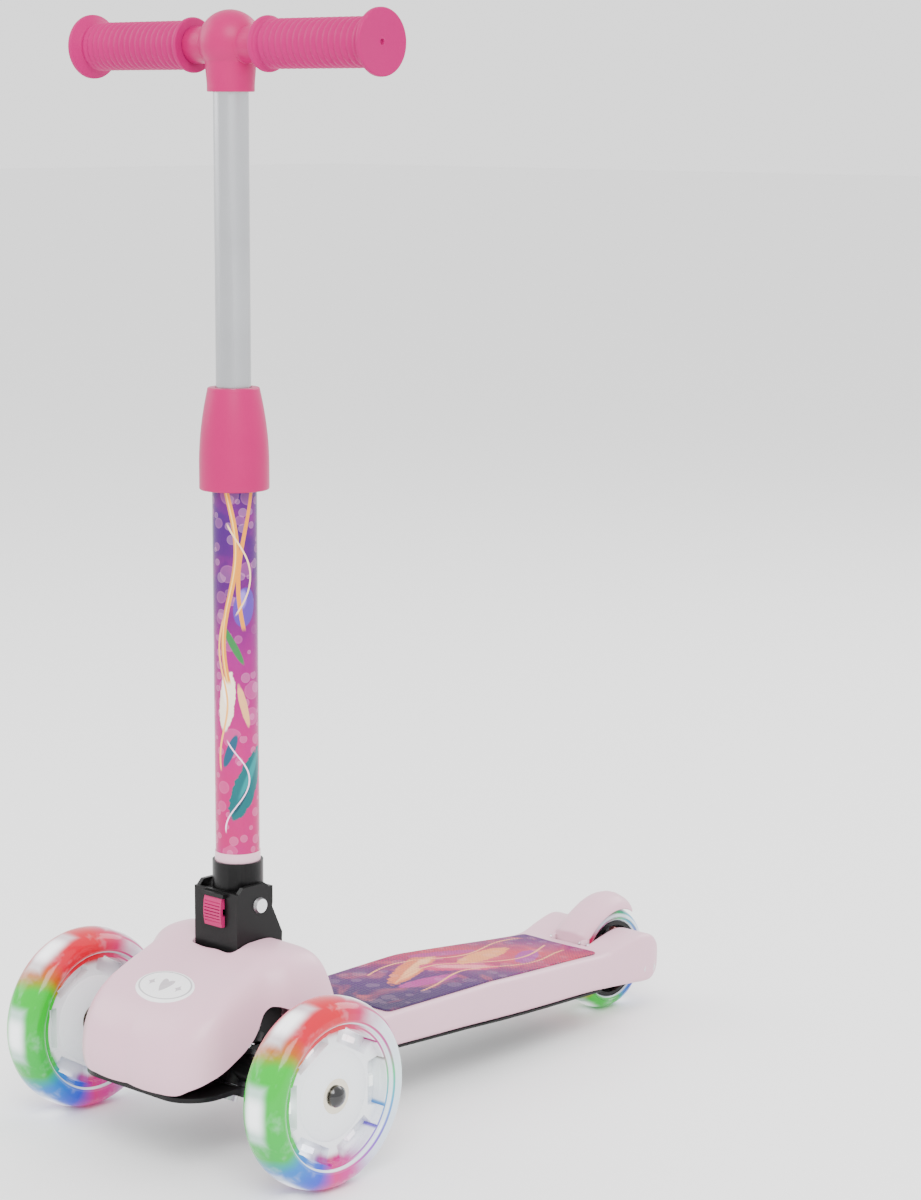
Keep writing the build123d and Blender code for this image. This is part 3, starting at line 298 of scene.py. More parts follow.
def moulded_skin():
    """Shared effect of moulded plastic: a fine orange-peel height, and a broad shade that drifts."""
    tree, ins, outs = group("moulded skin", {"Grain size": 900.0, "Drift size": 14.0}, ("Height", "Drift"))
    place = axes(tree)[0]
    plug(tree, noise(tree, place, ins[0]), outs[0])
    plug(tree, remap(noise(tree, place, ins[1], 3.0, 0.55), 0.3, 0.7), outs[1])
    return tree


def edge_wear():
    """Shared effect: a mask of rubbed edges, where the surface is sharply convex, broken by noise."""
    tree, ins, outs = group("edge wear", {"Reach": 0.53}, ("Mask",))
    point = Value(tree, add(tree, "ShaderNodeNewGeometry").outputs["Pointiness"])
    lift = noise(tree, axes(tree)[0], 160.0, 3.0) * 0.06 + (point - ins[0])
    plug(tree, remap(lift, 0.02, 0.09), outs[0])
    return tree


def settled_dust():
    """Shared effect: a faint mask of dust, on faces that look up and in patches."""
    tree, ins, outs = group("settled dust", {"Amount": 0.2}, ("Mask",))
    patches = noise(tree, axes(tree)[0], 45.0, 5.0, 0.65)
    facing = add(tree, "ShaderNodeNewGeometry").outputs["Normal"]
    up = Value(tree, add(tree, "ShaderNodeSeparateXYZ", Vector=facing).outputs["Z"])
    plug(tree, remap(up, 0.2, 1.0) * remap(patches, 0.45, 0.75) * ins[0], outs[0])
    return tree


skin_group, wear_group, dust_group = moulded_skin(), edge_wear(), settled_dust()


def use(tree, shared, **inputs):
    """A shared effect placed in a material with its own values."""
    made = add(tree, "ShaderNodeGroup", {"node_tree": shared}, **inputs)
    return {out.name: Value(tree, out) for out in made.outputs}


def material(name, specular=0.5):
    """A material with an empty tree, its Principled shader and its output."""
    made = bpy.data.materials.new(name)
    made.use_nodes = True
    tree = made.node_tree
    tree.nodes.clear()
    shader = tree.nodes.new("ShaderNodeBsdfPrincipled")
    shader.inputs["Specular IOR Level"].default_value = specular
    tree.links.new(shader.outputs[0], tree.nodes.new("ShaderNodeOutputMaterial").inputs[0])
    return made, tree, shader


def surface(tree, shader, colour, roughness, height, depth, coat=0.0, coat_roughness=0.12):
    """Join a colour, a roughness and a height of a given depth to a shader, and set its coat."""
    plug(tree, colour, shader.inputs["Base Color"])
    plug(tree, roughness, shader.inputs["Roughness"])
    bump = add(tree, "ShaderNodeBump", Height=height, Distance=depth)
    plug(tree, bump.outputs[0], shader.inputs["Normal"])
    shader.inputs["Coat Weight"].default_value = coat
    shader.inputs["Coat Roughness"].default_value = coat_roughness


DUST = (0.62, 0.6, 0.57)


def moulded(name, colour, roughness, drift=0.05, grain=0.00004, grain_size=900.0, coat=0.0, wear=0.12,
            dust=0.06, specular=0.5):
    """Moulded plastic or rubber: drifting shade, orange-peel grain, paler rubbed edges, faint dust."""
    made, tree, shader = material(name, specular)
    skin = use(tree, skin_group, Grain_size=grain_size)
    deep = tuple(c * (1 - drift) for c in colour)
    pale = tuple(c * 0.6 + 0.4 for c in colour)
    tint = blend_colour(tree, skin["Drift"], deep, colour)
    tint = blend_colour(tree, use(tree, wear_group)["Mask"] * wear, tint, pale)
    tint = blend_colour(tree, use(tree, dust_group, Amount=dust)["Mask"], tint, DUST)
    polish = remap(skin["Drift"], 0, 1, roughness - 0.03, roughness + 0.04)
    surface(tree, shader, tint, polish, skin["Height"], grain, coat)
    return made


def metal(name, colour, roughness, brush=(1, 1, 60)):
    """Metal with fine lines stretched along one axis and a drifting polish."""
    made, tree, shader = material(name)
    stretched = add(tree, "ShaderNodeMapping", Vector=axes(tree)[0], Scale=brush)
    lines = noise(tree, stretched.outputs[0], 60.0, 4.0)
    skin = use(tree, skin_group, Drift_size=22.0)
    tint = blend_colour(tree, skin["Drift"], tuple(c * 0.92 for c in colour), colour)
    surface(tree, shader, tint, remap(lines, 0.3, 0.7, roughness - 0.06, roughness + 0.08), lines, 0.00001)
    shader.inputs["Metallic"].default_value = 1.0
    return made


SHELL = (0.70, 0.42, 0.51)
HOT = (0.40, 0.0005, 0.10)
MOULDED = (
    ("shell_pink", SHELL, 0.34, dict(drift=0.03, coat=0.05, specular=0.4)),
    ("hot_pink_plastic", HOT, 0.36, dict(drift=0.08, wear=0.04, dust=0.02, specular=0.2)),
    ("grip_rubber", (0.38, 0.0005, 0.11), 0.5,
     dict(drift=0.08, wear=0.03, dust=0.02, specular=0.15, grain=0.00007, grain_size=1400.0)),
    ("black_plastic", (0.0035, 0.0033, 0.0037), 0.34, dict(drift=0.3, wear=0.01, dust=0.01, specular=0.16)),
    ("black_metal", (0.003, 0.003, 0.0035), 0.16, dict(drift=0.3, coat=0.4, wear=0.01)),
    ("magnet_steel", (0.06, 0.06, 0.065), 0.4, {}),
    ("badge_white", (0.88, 0.87, 0.88), 0.3, dict(drift=0.02, coat=0.3)),
    ("brake_rubber", (0.02, 0.02, 0.02), 0.6, dict(drift=0.3)),
    ("wheel_core", (0.86, 0.88, 0.91), 0.3, {}),
    ("painted_tube", (0.6, 0.1, 0.35), 0.3, {}),
    ("printed_film", (0.6, 0.1, 0.35), 0.25, {}),
    ("printed_mat", (0.4, 0.1, 0.35), 0.5, {}),
    ("wheel_tyre", (0.8, 0.85, 0.9), 0.2, {}),
    ("wheel_light", (0.9, 0.3, 0.3), 0.3, {}),
)
METALS = (
    ("silver_tube", (0.50, 0.51, 0.53), 0.24, dict(brush=(1, 1, 0.05))),
    ("bright_steel", (0.72, 0.72, 0.74), 0.27, {}),
    ("bearing_steel", (0.74, 0.69, 0.56), 0.22, {}),
)
finish = {name: moulded(name, colour, rough, **more) for name, colour, rough, more in MOULDED}
finish.update({name: metal(name, colour, rough, **more) for name, colour, rough, more in METALS})

slot_of = {entry["node"]: entry["material_slot"] for entry in frame["record"]["subparts"]}
for node, thing in frame["nodes"].items():
    thing.data.materials.clear()
    thing.data.materials.append(finish[slot_of[node]])


# ---- camera, floor and light
def look(place, target, roll, lens):
    """The camera, aimed at a target with a small roll about its line of sight."""
    data = bpy.data.cameras.new("Camera")
    camera = bpy.data.objects.new("Camera", data)
    bpy.context.scene.collection.objects.link(camera)
    data.sensor_fit = "VERTICAL"
    data.sensor_height = 36
    data.lens = lens
    data.clip_end = 50
    aim = (Vector(target) - Vector(place)).to_track_quat("-Z", "Y").to_matrix().to_4x4()
    camera.matrix_world = Matrix.Translation(place) @ aim @ Matrix.Rotation(roll, 4, "Z")
    bpy.context.scene.camera = camera


look(place=(1.3308, front_y - 1.2104, 0.6540), target=(0.0005, front_y + 0.2440, 0.3232),
     roll=radians(0.22), lens=87.72)


def area_light(name, place, size, power):
    """A soft white rectangular light, aimed at the middle of the lower half of the scooter."""
    data = bpy.data.lights.new(name, "AREA")
    data.shape = "RECTANGLE"
    data.size, data.size_y = size
    data.energy = power
    light = bpy.data.objects.new(name, data)
    light.location = place
    light.rotation_euler = (Vector((0, 0, 0.3)) - Vector(place)).to_track_quat("-Z", "Y").to_euler()
    bpy.context.scene.collection.objects.link(light)


world = bpy.data.worlds.new("Studio")
bpy.context.scene.world = world
world.use_nodes = True
world.node_tree.nodes["Background"].inputs[0].default_value = (1, 1, 1, 1)
world.node_tree.nodes["Background"].inputs[1].default_value = 1.7
area_light("Key", (1.6, -1.6, 2.2), (1.6, 1.6), 90)
area_light("Fill", (-2.0, -1.0, 1.4), (1.6, 1.6), 26)
area_light("Rim", (0.3, 2.2, 1.8), (1.8, 1.2), 45)

floor_mesh = bpy.data.meshes.new("floor")
reach = 24.0                         # far enough that its edge never comes into view
corners = [(x * reach, y * reach, 0) for x, y in ((-1, -1), (1, -1), (1, 1), (-1, 1))]
floor_mesh.from_pydata(corners, [], [(0, 1, 2, 3)])
floor = bpy.data.objects.new("floor", floor_mesh)
bpy.context.scene.collection.objects.link(floor)
floor_finish, _, floor_shader = material("floor")
floor_shader.inputs["Base Color"].default_value = (0.93, 0.93, 0.93, 1)
floor_shader.inputs["Roughness"].default_value = 0.55
floor_mesh.materials.append(floor_finish)

# ---- front cover
def behind(d):
    """World Y of a distance behind the front axle, both in metres."""
    return front_y + d


HOLE = (0.0204, 0.0100, 0.0555)      # half-width, front and back of the opening round the folding joint
HEART = 0.033                        # the point of the plan that the cover's surface runs round
NOSE, NOSE_HALF, LOBE_HALF, REAR, REAR_HALF = -0.0625, 0.059, 0.073, 0.0775, 0.042
ARCH = np.array([(-62, 54.5), (-58, 56), (-55, 59.5), (-45, 64.4), (-30, 70), (-16, 77), (-7, 84), (-2.5, 91),
                 (0.5, 98), (6, 102), (11, 101.3), (15, 99.5), (27, 91.5), (42, 80), (58, 71), (68, 68),
                 (80, 66.6), (118, 66.4)]) * MM      # distance behind the axle, height of the arch


def plan_half(d):
    """Half-width of the cover's plan: a nose, a soft step out to the lobes, and a taper to the rear."""
    swell = 1 / (1 + np.exp((0.009 - d) / 0.0042))
    taper = np.clip((d - 0.052) / (REAR - 0.052), 0, 1)
    return NOSE_HALF + (LOBE_HALF - NOSE_HALF) * swell - (LOBE_HALF - REAR_HALF) * taper ** 0.9


def cover_reach(angle):
    """How far the plan's outline lies from its heart in each direction, read off the outline."""
    nose_corner, rear_corner = 0.028, 0.012
    turn = np.linspace(0, pi / 2, 24)
    front = np.stack([NOSE_HALF - nose_corner * (1 - np.sin(turn)),
                      NOSE + nose_corner * (1 - np.cos(turn))], -1)
    d = np.linspace(NOSE + nose_corner, REAR - rear_corner, 90)[1:]
    side = np.stack([plan_half(d), d], -1)
    turn = turn[1:]
    width = plan_half(REAR - rear_corner) - rear_corner
    rear = np.stack([width + rear_corner * np.cos(turn), REAR - rear_corner * (1 - np.sin(turn))], -1)
    half = np.vstack([[(0, NOSE)], front, side, rear, [(0, REAR)]])
    bearing = np.arctan2(half[:, 0], HEART - half[:, 1])
    away = np.hypot(half[:, 0], half[:, 1] - HEART)
    return np.interp(np.abs(angle), bearing, away)


def hole_reach(angle):
    """How far the opening's rounded edge lies from the heart in each direction: a squarish oval."""
    half, front, back = HOLE
    ahead = np.where(np.cos(angle) > 0, HEART - front, back - HEART)
    return ((np.abs(np.sin(angle)) / half) ** 9 + (np.abs(np.cos(angle)) / ahead) ** 9) ** (-1 / 9)


def ease(value, low, high):
    """Smooth rise from 0 to 1 between two values."""
    t = np.clip((value - low) / (high - low), 0, 1)
    return t * t * (3 - 2 * t)


def cover_shape(angle):
    """Fullness, roundness and equator height of the cover's section in each direction."""
    nose, rear = ease(np.cos(angle), 0.25, 0.9), ease(-np.cos(angle), 0.15, 0.95)
    side = 1 - nose - rear
    full = 10 * nose + 6.2 * side + 5.5 * rear
    root = 2.0 * nose + 2.3 * side + 1.2 * rear
    equator = (66 * nose + 55 * side + 66.3 * rear) * MM
    return full, root, equator


def crown(d):
    """Height of the cover's ridge: level round the joint, falling to the nose along one hyperbola
    and to the rear along another."""
    height = 0.133
    for ahead, slope, turn in ((0.020 - d, 0.46, 0.010), (d - 0.044, 0.68, 0.006)):
        height = height - slope * (np.sqrt(ahead ** 2 + turn ** 2) + ahead) / 2
    return height


def cover_height(x, d):
    """Height of the cover over a point of its plan."""
    angle = np.arctan2(x, HEART - d)
    share = (np.hypot(x, d - HEART) - hole_reach(angle)) / (cover_reach(angle) - hole_reach(angle))
    full, root, equator = cover_shape(angle)
    return equator + (crown(d) - equator) * (1 - np.clip(share, 0, 1) ** full) ** (1 / root)


def front_cover():
    """Moulded cover: rays run out from the joint's opening. Along each, the height falls from the
    ridge as a superellipse of the share of the way out, then tucks under, and it is cut at the
    wheel arch, whose height is read from a table by distance along the scooter."""
    rays, even_share, skin_thick = 360, 0.80, 0.0026
    tuck_in, tuck_low = 0.0035, 0.050
    angle = np.linspace(-pi, pi, rays + 1)[:-1][:, None]
    full, root, equator = cover_shape(angle)
    inner, outer = hole_reach(angle), cover_reach(angle)
    # even steps over the top, then even steps of the superellipse's own angle round the shoulder
    flat = np.linspace(0.012, even_share, 46)[None, :]
    start = np.arcsin(even_share ** (full / 2))
    sweep = start + (pi / 2 - start) * np.linspace(0, 1, 70)[None, 1:]
    share = np.hstack([flat + 0 * angle, np.sin(sweep) ** (2 / full)])
    tall = np.hstack([(1 - flat ** full) ** (1 / root), np.cos(sweep).clip(0) ** (2 / root)])
    away = inner + (outer - inner) * share
    x, d = away * np.sin(angle), HEART - away * np.cos(angle)
    z = equator + (crown(d) - equator) * tall
    tuck = np.linspace(0, 1, 16)[None, 1:]
    curl = outer - tuck_in * tuck ** 2
    x = np.hstack([x, curl * np.sin(angle)])
    d = np.hstack([d, HEART - curl * np.cos(angle)])
    z = np.hstack([z, equator - (equator - tuck_low) * tuck])
    # where each ray first drops below the arch, evened out between neighbouring rays
    spare = z - np.interp(d, *ARCH.T)
    below = spare < 0
    first = np.where(below.any(1), below.argmax(1), z.shape[1] - 1).clip(1)
    rows = np.arange(len(z))
    gap = spare[rows, first - 1] / (spare[rows, first - 1] - spare[rows, first])
    end = first - 1 + np.where(below.any(1), gap, 1)
    for _ in range(2):
        end = 0.5 * end + 0.25 * (np.roll(end, 1) + np.roll(end, -1))
    place = end[:, None] * np.linspace(0, 1, 96)[None, :]
    low = np.floor(place).astype(int).clip(0, z.shape[1] - 2)
    part = place - low
    x, d, z = (np.take_along_axis(a, low, 1) * (1 - part) + np.take_along_axis(a, low + 1, 1) * part
               for a in (x, d, z))
    skin = np.stack([x, behind(d), z], -1)
    # the rounded lip down into the joint's opening, each ring as (how far in, how far down)
    lip = []
    for inset, drop in ((0.0006, 0.0042), (0.0005, 0.0014), (0.0001, 0.0004)):
        ring_d = HEART - (inner - inset) * np.cos(angle)
        height = crown(ring_d) - drop + 0.0003 * np.sin(7 * angle)
        lip.append(np.stack([(inner - inset) * np.sin(angle), behind(ring_d), height], -1))
    grid = np.concatenate(lip + [skin], 1)
    mesh = mesh_from("front_cover_shell", [(grid, True, False)], inside=(0, behind(0.02), 0.07))
    shell = piece("front_cover_shell", mesh, "chassis", "shell_pink", ["front_cover"])
    wall(shell, skin_thick)
    bevel(shell, 0.0005, 2, 50)


BADGE_D, BADGE_TILT = -0.029, radians(28)            # the badge's place behind the axle, and its slope
BADGE = (0.0, front_y + BADGE_D, 0.1115)


def oval(x, y, across, along):
    """How far out a point is, in shares of an oval: the root of the sum of its two shares squared."""
    return (abs(x / across) ** 2 + abs(y / along) ** 2).join("SQRT")


def badge_finish():
    """White oval with a thin grey ring, and a drawn heart between two small stars, no lettering."""
    made, tree, shader = material("badge_print")
    place = add(tree, "ShaderNodeTexCoord").outputs["Object"]
    flat = add(tree, "ShaderNodeMapping", {"vector_type": "TEXTURE"}, Vector=place, Location=BADGE,
               Rotation=(BADGE_TILT, 0, 0))
    split = add(tree, "ShaderNodeSeparateXYZ", Vector=flat.outputs[0]).outputs
    x, y = Value(tree, split["X"]), Value(tree, split["Y"])
    ring = remap(abs(oval(x, y, 0.0214, 0.0120) - 1.0), 0.022, 0.045, 1, 0)
    heart = oval(x, y - abs(x) * 0.9 + 0.0012, 0.0052, 0.0050)
    ink = remap(heart, 0.93, 1.02, 1, 0)
    for side in (1, -1):
        star = abs((x - side * 0.0122) / 0.0036) ** 0.6 + abs(y / 0.0036) ** 0.6
        ink = ink.join("MAXIMUM", remap(star, 0.95, 1.05, 1, 0))
    tint = blend_colour(tree, ring, (0.86, 0.86, 0.87), (0.42, 0.41, 0.43))
    tint = blend_colour(tree, ink, tint, (0.46, 0.42, 0.45))
    skin = use(tree, skin_group, Grain_size=1600.0)
    surface(tree, shader, tint, remap(skin["Drift"], 0, 1, 0.24, 0.32), ink, 0.00005)
    return made


def badge():
    """Oval plate on the nose: rings of an oval carried on the cover's surface, raised by a low dome."""
    across, along, dome, lift = 0.024, 0.0145 * cos(BADGE_TILT), 0.0009, 0.0001
    angle = np.linspace(0, 2 * pi, 97)[:-1][:, None]
    out = np.array([0, 0.2, 0.4, 0.6, 0.75, 0.86, 0.93, 0.965, 0.985, 0.996, 1.0, 1.0])[None, :]
    x, d = across * out * np.cos(angle), BADGE_D + along * out * np.sin(angle)
    rise = dome * np.sqrt(np.clip(1 - out ** 8, 0, 1))
    rise[:, -1] = -0.0006
    grid = np.stack([x, behind(d), cover_height(x, d) + rise + lift], -1)
    mesh = mesh_from("badge_plate", [(grid, True, False)], inside=(0, behind(-0.02), 0.09))
    piece("badge_plate", mesh, "chassis", "badge_white", ["badge"], sharp=60, made=badge_finish())


# ---- bars between two lines
def loft(low, high, left, right, corner, steps=6, sides=10, ends=(True, True)):
    """Closed bar: at each station a rounded box between a low and a high point of the side view
    and between two widths. Its corners are quarter turns whose radius is limited by its size."""
    low, high = np.asarray(low, float), np.asarray(high, float)
    left, right = (np.broadcast_to(np.asarray(v, float), (len(low),)) for v in (left, right))
    tall = np.linalg.norm(high - low, axis=1)
    wide = right - left
    r_up = np.minimum(corner, 0.48 * np.minimum(tall, wide))
    turn = np.linspace(0, pi / 2, steps)
    across, up = [], []
    for sx, sz, start in ((1, 1, 0), (-1, 1, 1), (-1, -1, 2), (1, -1, 3)):
        a = turn + start * pi / 2
        cx = (right - r_up) if sx > 0 else (left + r_up)
        cz = (tall - r_up) if sz > 0 else r_up
        across.append(cx[:, None] + r_up[:, None] * np.cos(a)[None, :])
        up.append(cz[:, None] + r_up[:, None] * np.sin(a)[None, :])
        if start % 2 == 0:
            t = np.linspace(0, 1, sides + 2)[None, 1:-1]
            x0, x1 = (right - r_up, left + r_up) if start == 0 else (left + r_up, right - r_up)
            across.append(x0[:, None] + (x1 - x0)[:, None] * t)
            up.append(np.broadcast_to((tall if start == 0 else 0 * tall)[:, None], (len(tall), sides)))
    across, up = np.hstack(across), np.hstack(up)
    share = up / np.maximum(tall, 1e-9)[:, None]
    line = low[:, None, :] + (high - low)[:, None, :] * share[..., None]
    grid = np.stack([across, behind(line[..., 0]), line[..., 1]], -1)
    if ends[0]:
        grid = np.concatenate([np.broadcast_to(grid[:1].mean(1, keepdims=True), grid[:1].shape), grid])
    if ends[1]:
        grid = np.concatenate([grid, np.broadcast_to(grid[-1:].mean(1, keepdims=True), grid[-1:].shape)])
    return grid


def spaced(line, count):
    """A line read again at even steps of its length."""
    line = np.asarray(line, float)
    run = np.concatenate([[0], np.cumsum(np.linalg.norm(np.diff(line, axis=0), axis=1))])
    at = np.linspace(0, run[-1], count)
    return np.stack([np.interp(at, run, line[:, i]) for i in range(line.shape[1])], -1)


AXLE_COVER = span("rear_axle", 0)[1] + 0.0014   # the rails reach past the rear axle's ends
DECK_TOP = np.array([(66, 66), (222, 66), (228, 65.9), (234, 65.5), (347, 56.8)]) * MM
DECK_LOW = np.array([(66, 45), (200, 40.5), (402, 28)]) * MM
DECK_HALF = np.array([(66, 40), (80, 43.5), (100, 47), (130, 47.7), (170, 48.9), (210, 49.5), (250, 48.6),
                      (288, 46.5), (317, 44.1), (345, 42.8), (372, 44), (400, AXLE_COVER / MM)]) * MM
RAIL_TOP = np.array([(340, 57.35), (347, 56.85), (354, 56.9), (362, 57.6), (375, 61), (391, 64), (400, 63.3),
                     (406, 60.4), (409.8, 55), (411.5, 46), (411.5, 43)]) * MM
RAIL_LOW = np.array([(385, 29.1), (396, 28.3), (403, 29), (408.5, 33), (411.1, 38.5), (411.5, 43)]) * MM
BAY_HALF, BAY_START = 0.016, 0.3596
DECK_CORNER = 0.0042                 # round of the deck's long edges


def deck_half(d):
    """Half-width of the deck, with quarter-round corners at its tail."""
    tail_start, tail_long, tail_wide = 0.400, 0.0116, 0.004
    width = np.interp(d, *fair(DECK_HALF, 6).T)
    tail = np.sqrt(np.clip(1 - (np.clip(d - tail_start, 0, None) / tail_long) ** 2, 0, 1))
    return width - tail_wide * (1 - tail)


def deck():
    """Deck: one rounded bar as far as the wheel bay, and a rounded rail each side of the bay whose
    top rises to a crest and rolls over the tail to meet its underside."""
    d = np.concatenate([np.linspace(0.066, 0.220, 36), np.linspace(0.222, 0.236, 12),
                        np.linspace(0.24, BAY_START, 50)])
    rise = fair(RAIL_TOP, 10)
    height = np.interp(d, *np.vstack([DECK_TOP[:-1], rise]).T)
    low = np.stack([d, np.interp(d, *DECK_LOW.T)], -1)
    bar = loft(low, np.stack([d, height], -1), -deck_half(d), deck_half(d), DECK_CORNER, sides=26)
    grids = [(bar, False, True)]
    upper = spaced(rise[rise[:, 0] >= BAY_START], 60)
    upper = np.vstack([[(BAY_START, np.interp(BAY_START, *rise.T))], upper])
    under = fair(np.vstack([[(BAY_START, np.interp(BAY_START, *DECK_LOW.T))], RAIL_LOW]), 10)
    under = spaced(under, len(upper))
    for side in (1, -1):
        edge = deck_half((upper[:, 0] + under[:, 0]) / 2)
        inner = np.full(len(edge), BAY_HALF)
        pair = (inner, edge) if side > 0 else (-edge, -inner)
        grids.append((loft(under, upper, *pair, DECK_CORNER, sides=8, ends=(False, False)), False, True))
    mesh = mesh_from("deck_moulding", grids)
    piece("deck_moulding", mesh, "chassis", "shell_pink", ["deck"], sharp=50)


FENDER_BACK = np.array([(360.4, 65.2), (364.5, 68.6), (370, 72.4), (381, 78.6), (393, 83.4), (404, 85),
                        (412, 83.6), (418.5, 79.8), (421, 76.6)]) * MM


def brake_fender():
    """Foot brake: a bar between an arc close over the tyre and a humped back, its sides drawn in
    towards the wheel by the cube of the distance across, with a raised rib and a hinge ear each side."""
    hub_d, half_wide, clearance = 0.400, 0.0152, 0.0042
    r_in = rear_r + clearance
    bearing = np.radians(np.linspace(142, 62, 48))
    under = np.array([hub_d, rear_r]) + r_in * np.stack([np.cos(bearing), np.sin(bearing)], -1)
    back = spaced(fair(FENDER_BACK, 8), len(under))
    # the apron in front of the tyre, below the arc
    apron = np.linspace(0.0555, 0.0636, 7)
    under = np.vstack([np.stack([np.full(7, 0.3628), apron], -1), under])
    back = np.vstack([np.stack([np.full(7, 0.3604), apron], -1), back])
    half = half_wide - 0.0006 * ease(back[:, 0], 0.405, 0.425)
    body = loft(under, back, -half, half, 0.0042, steps=8, sides=17)
    hub_y, drawn_in = behind(hub_d), 0.0065
    away = np.hypot(body[..., 1] - hub_y, body[..., 2] - rear_r)
    skirt = 1 - drawn_in * (np.abs(body[..., 0]) / half_wide) ** 3 / away
    body[..., 1] = hub_y + (body[..., 1] - hub_y) * skirt
    body[..., 2] = rear_r + (body[..., 2] - rear_r) * skirt
    # the raised rib along the middle of the back, fading at its sides and ends
    x, y, z = body[..., 0], body[..., 1], body[..., 2]
    above = ease(np.hypot(y - behind(0.400), z - rear_r), r_in + 0.0025, r_in + 0.0034)
    length = ease(y, behind(0.372), behind(0.378)) * (1 - ease(y, behind(0.412), behind(0.418)))
    body[..., 2] += 0.0006 * above * (1 - ease(np.abs(x), 0.0035, 0.0050)) * length
    grids = [(body, False, True)]
    # each ear is a rounded tab round the hinge pin, as (place across, share of full size) slices
    pin, ear_r, ear_top = middle("brake_hinge_pin"), 0.0036, 0.0035
    turn = np.radians(np.linspace(-180, 0, 20))
    shape = np.vstack([ear_r * np.stack([np.cos(turn), np.sin(turn)], -1),
                       [(ear_r, ear_top), (-0.0030, ear_top)]])
    slices = ((0.0124, 0), (0.0124, 0.92), (0.0127, 1), (0.0149, 1), (0.0152, 0.92), (0.0152, 0))
    for side in (1, -1):
        ear = [np.stack([np.full(len(shape), side * wide), pin[1] + size * shape[:, 0],
                         pin[2] + size * shape[:, 1]], -1) for wide, size in slices]
        grids.append((np.array(ear), False, True))
    mesh = mesh_from("brake_fender_moulding", grids)
    piece("brake_fender_moulding", mesh, "rear_brake", "shell_pink", ["brake_fender"], sharp=60)


# ---- printed mat and film
def spot(tree, flat, place, size, tilt, soft, ragged=0.0):
    """Mask of a tilted oval on a flat pair of coordinates, its edge softened or made ragged."""
    put = add(tree, "ShaderNodeMapping", {"vector_type": "TEXTURE"}, Vector=flat, Location=(*place, 0),
              Rotation=(0, 0, radians(tilt)), Scale=(*size, 1))
    length = add(tree, "ShaderNodeVectorMath", {"operation": "LENGTH"}, Vector=put.outputs[0])
    far = Value(tree, length.outputs["Value"])
    if ragged:
        far = noise(tree, flat, 0.28, 3.0) * ragged + far - ragged / 2
    return remap(far, 1 - soft, 1 + soft * 0.2, 1, 0)


def ribbon(u, v, middle_u, swing, pitch, phase, half, low, high):
    """Mask of a waving band that runs up v between two heights and swings about a place on u."""
    fade = 4
    wave = (v * (2 * pi / pitch) + phase).join("SINE")
    band = remap(abs(u - (wave * swing + middle_u)), half * 0.8, half, 1, 0)
    return band * (remap(v, low, low + fade) * remap(v, high - fade, high, 1, 0))


def bokeh(tree, flat, size, share, seed):
    """Mask of soft round lights of mixed size, one to some cells of a jittered pattern."""
    cells = add(tree, "ShaderNodeTexVoronoi", {"voronoi_dimensions": "2D"}, Vector=flat,
                Scale=1 / size, Randomness=0.8).outputs
    pick = add(tree, "ShaderNodeSeparateColor", Color=cells["Color"]).outputs
    inside = Value(tree, pick["Red"]) * 0.28 + 0.16 - Value(tree, cells["Distance"])
    chosen = remap(Value(tree, pick["Green"]), seed, seed + 0.02)
    return remap(inside, 0.0, 0.035) * remap(inside, 0.0, 0.10, 1.0, 0.62) * (chosen * share)


def painted(tree, base, flat, u, v, spots=(), ribbons=()):
    """A print's colour with its ovals, then its ribbons, laid over it one after another."""
    for colour, *shape in spots:
        base = blend_colour(tree, spot(tree, flat, *shape), base, colour)
    for colour, *shape in ribbons:
        base = blend_colour(tree, ribbon(u, v, *shape), base, colour)
    return base


# Ovals: colour, place (u, v), size, tilt in degrees, softness, any raggedness.
FILM_SPOTS = (
    ((0.09, 0.03, 0.32), (5.5, 346), (7.5, 13), -8, 0.1),
    ((0.26, 0.16, 0.60), (4.0, 351), (3.5, 7), -8, 0.5),
    ((0.02, 0.17, 0.04), (-2.0, 322), (2.4, 15), 28, 0.2),
    ((0.90, 0.78, 0.60), (-6.5, 286), (5.5, 20), -6, 0.1, 0.35),
    ((1.0, 0.95, 0.86), (-7.5, 292), (2.2, 11), 8, 0.4),
    ((0.72, 0.36, 0.16), (4.5, 283), (2.6, 15), 14, 0.2, 0.3),
    ((0.01, 0.07, 0.13), (-4.5, 254), (3.0, 12), -22, 0.15),
    ((0.0, 0.10, 0.115), (6.5, 232), (8.5, 25), -24, 0.08, 0.45),
    ((0.0, 0.20, 0.21), (8.5, 238), (2.8, 20), -26, 0.5),
    ((0.0, 0.04, 0.06), (2.5, 222), (1.6, 12), -30, 0.5),
)
MAT_SPOTS = (
    ((0.62, 0.15, 0.06), (-14, 212), (10, 44), 24, 0.1, 0.5),
    ((0.80, 0.38, 0.17), (-12, 214), (5, 34), 24, 0.3, 0.3),
    ((0.50, 0.02, 0.12), (6, 238), (12, 30), -34, 0.1, 0.5),
    ((0.75, 0.20, 0.24), (8, 240), (6, 22), -34, 0.3, 0.3),
    ((0.70, 0.24, 0.08), (-6, 276), (9, 34), 12, 0.1, 0.5),
    ((0.34, 0.02, 0.20), (16, 196), (7, 26), -10, 0.1, 0.4),
    ((0.38, 0.02, 0.18), (-27, 256), (6, 30), -14, 0.1, 0.4),
    ((0.30, 0.02, 0.22), (14, 300), (8, 22), 30, 0.1, 0.4),
)
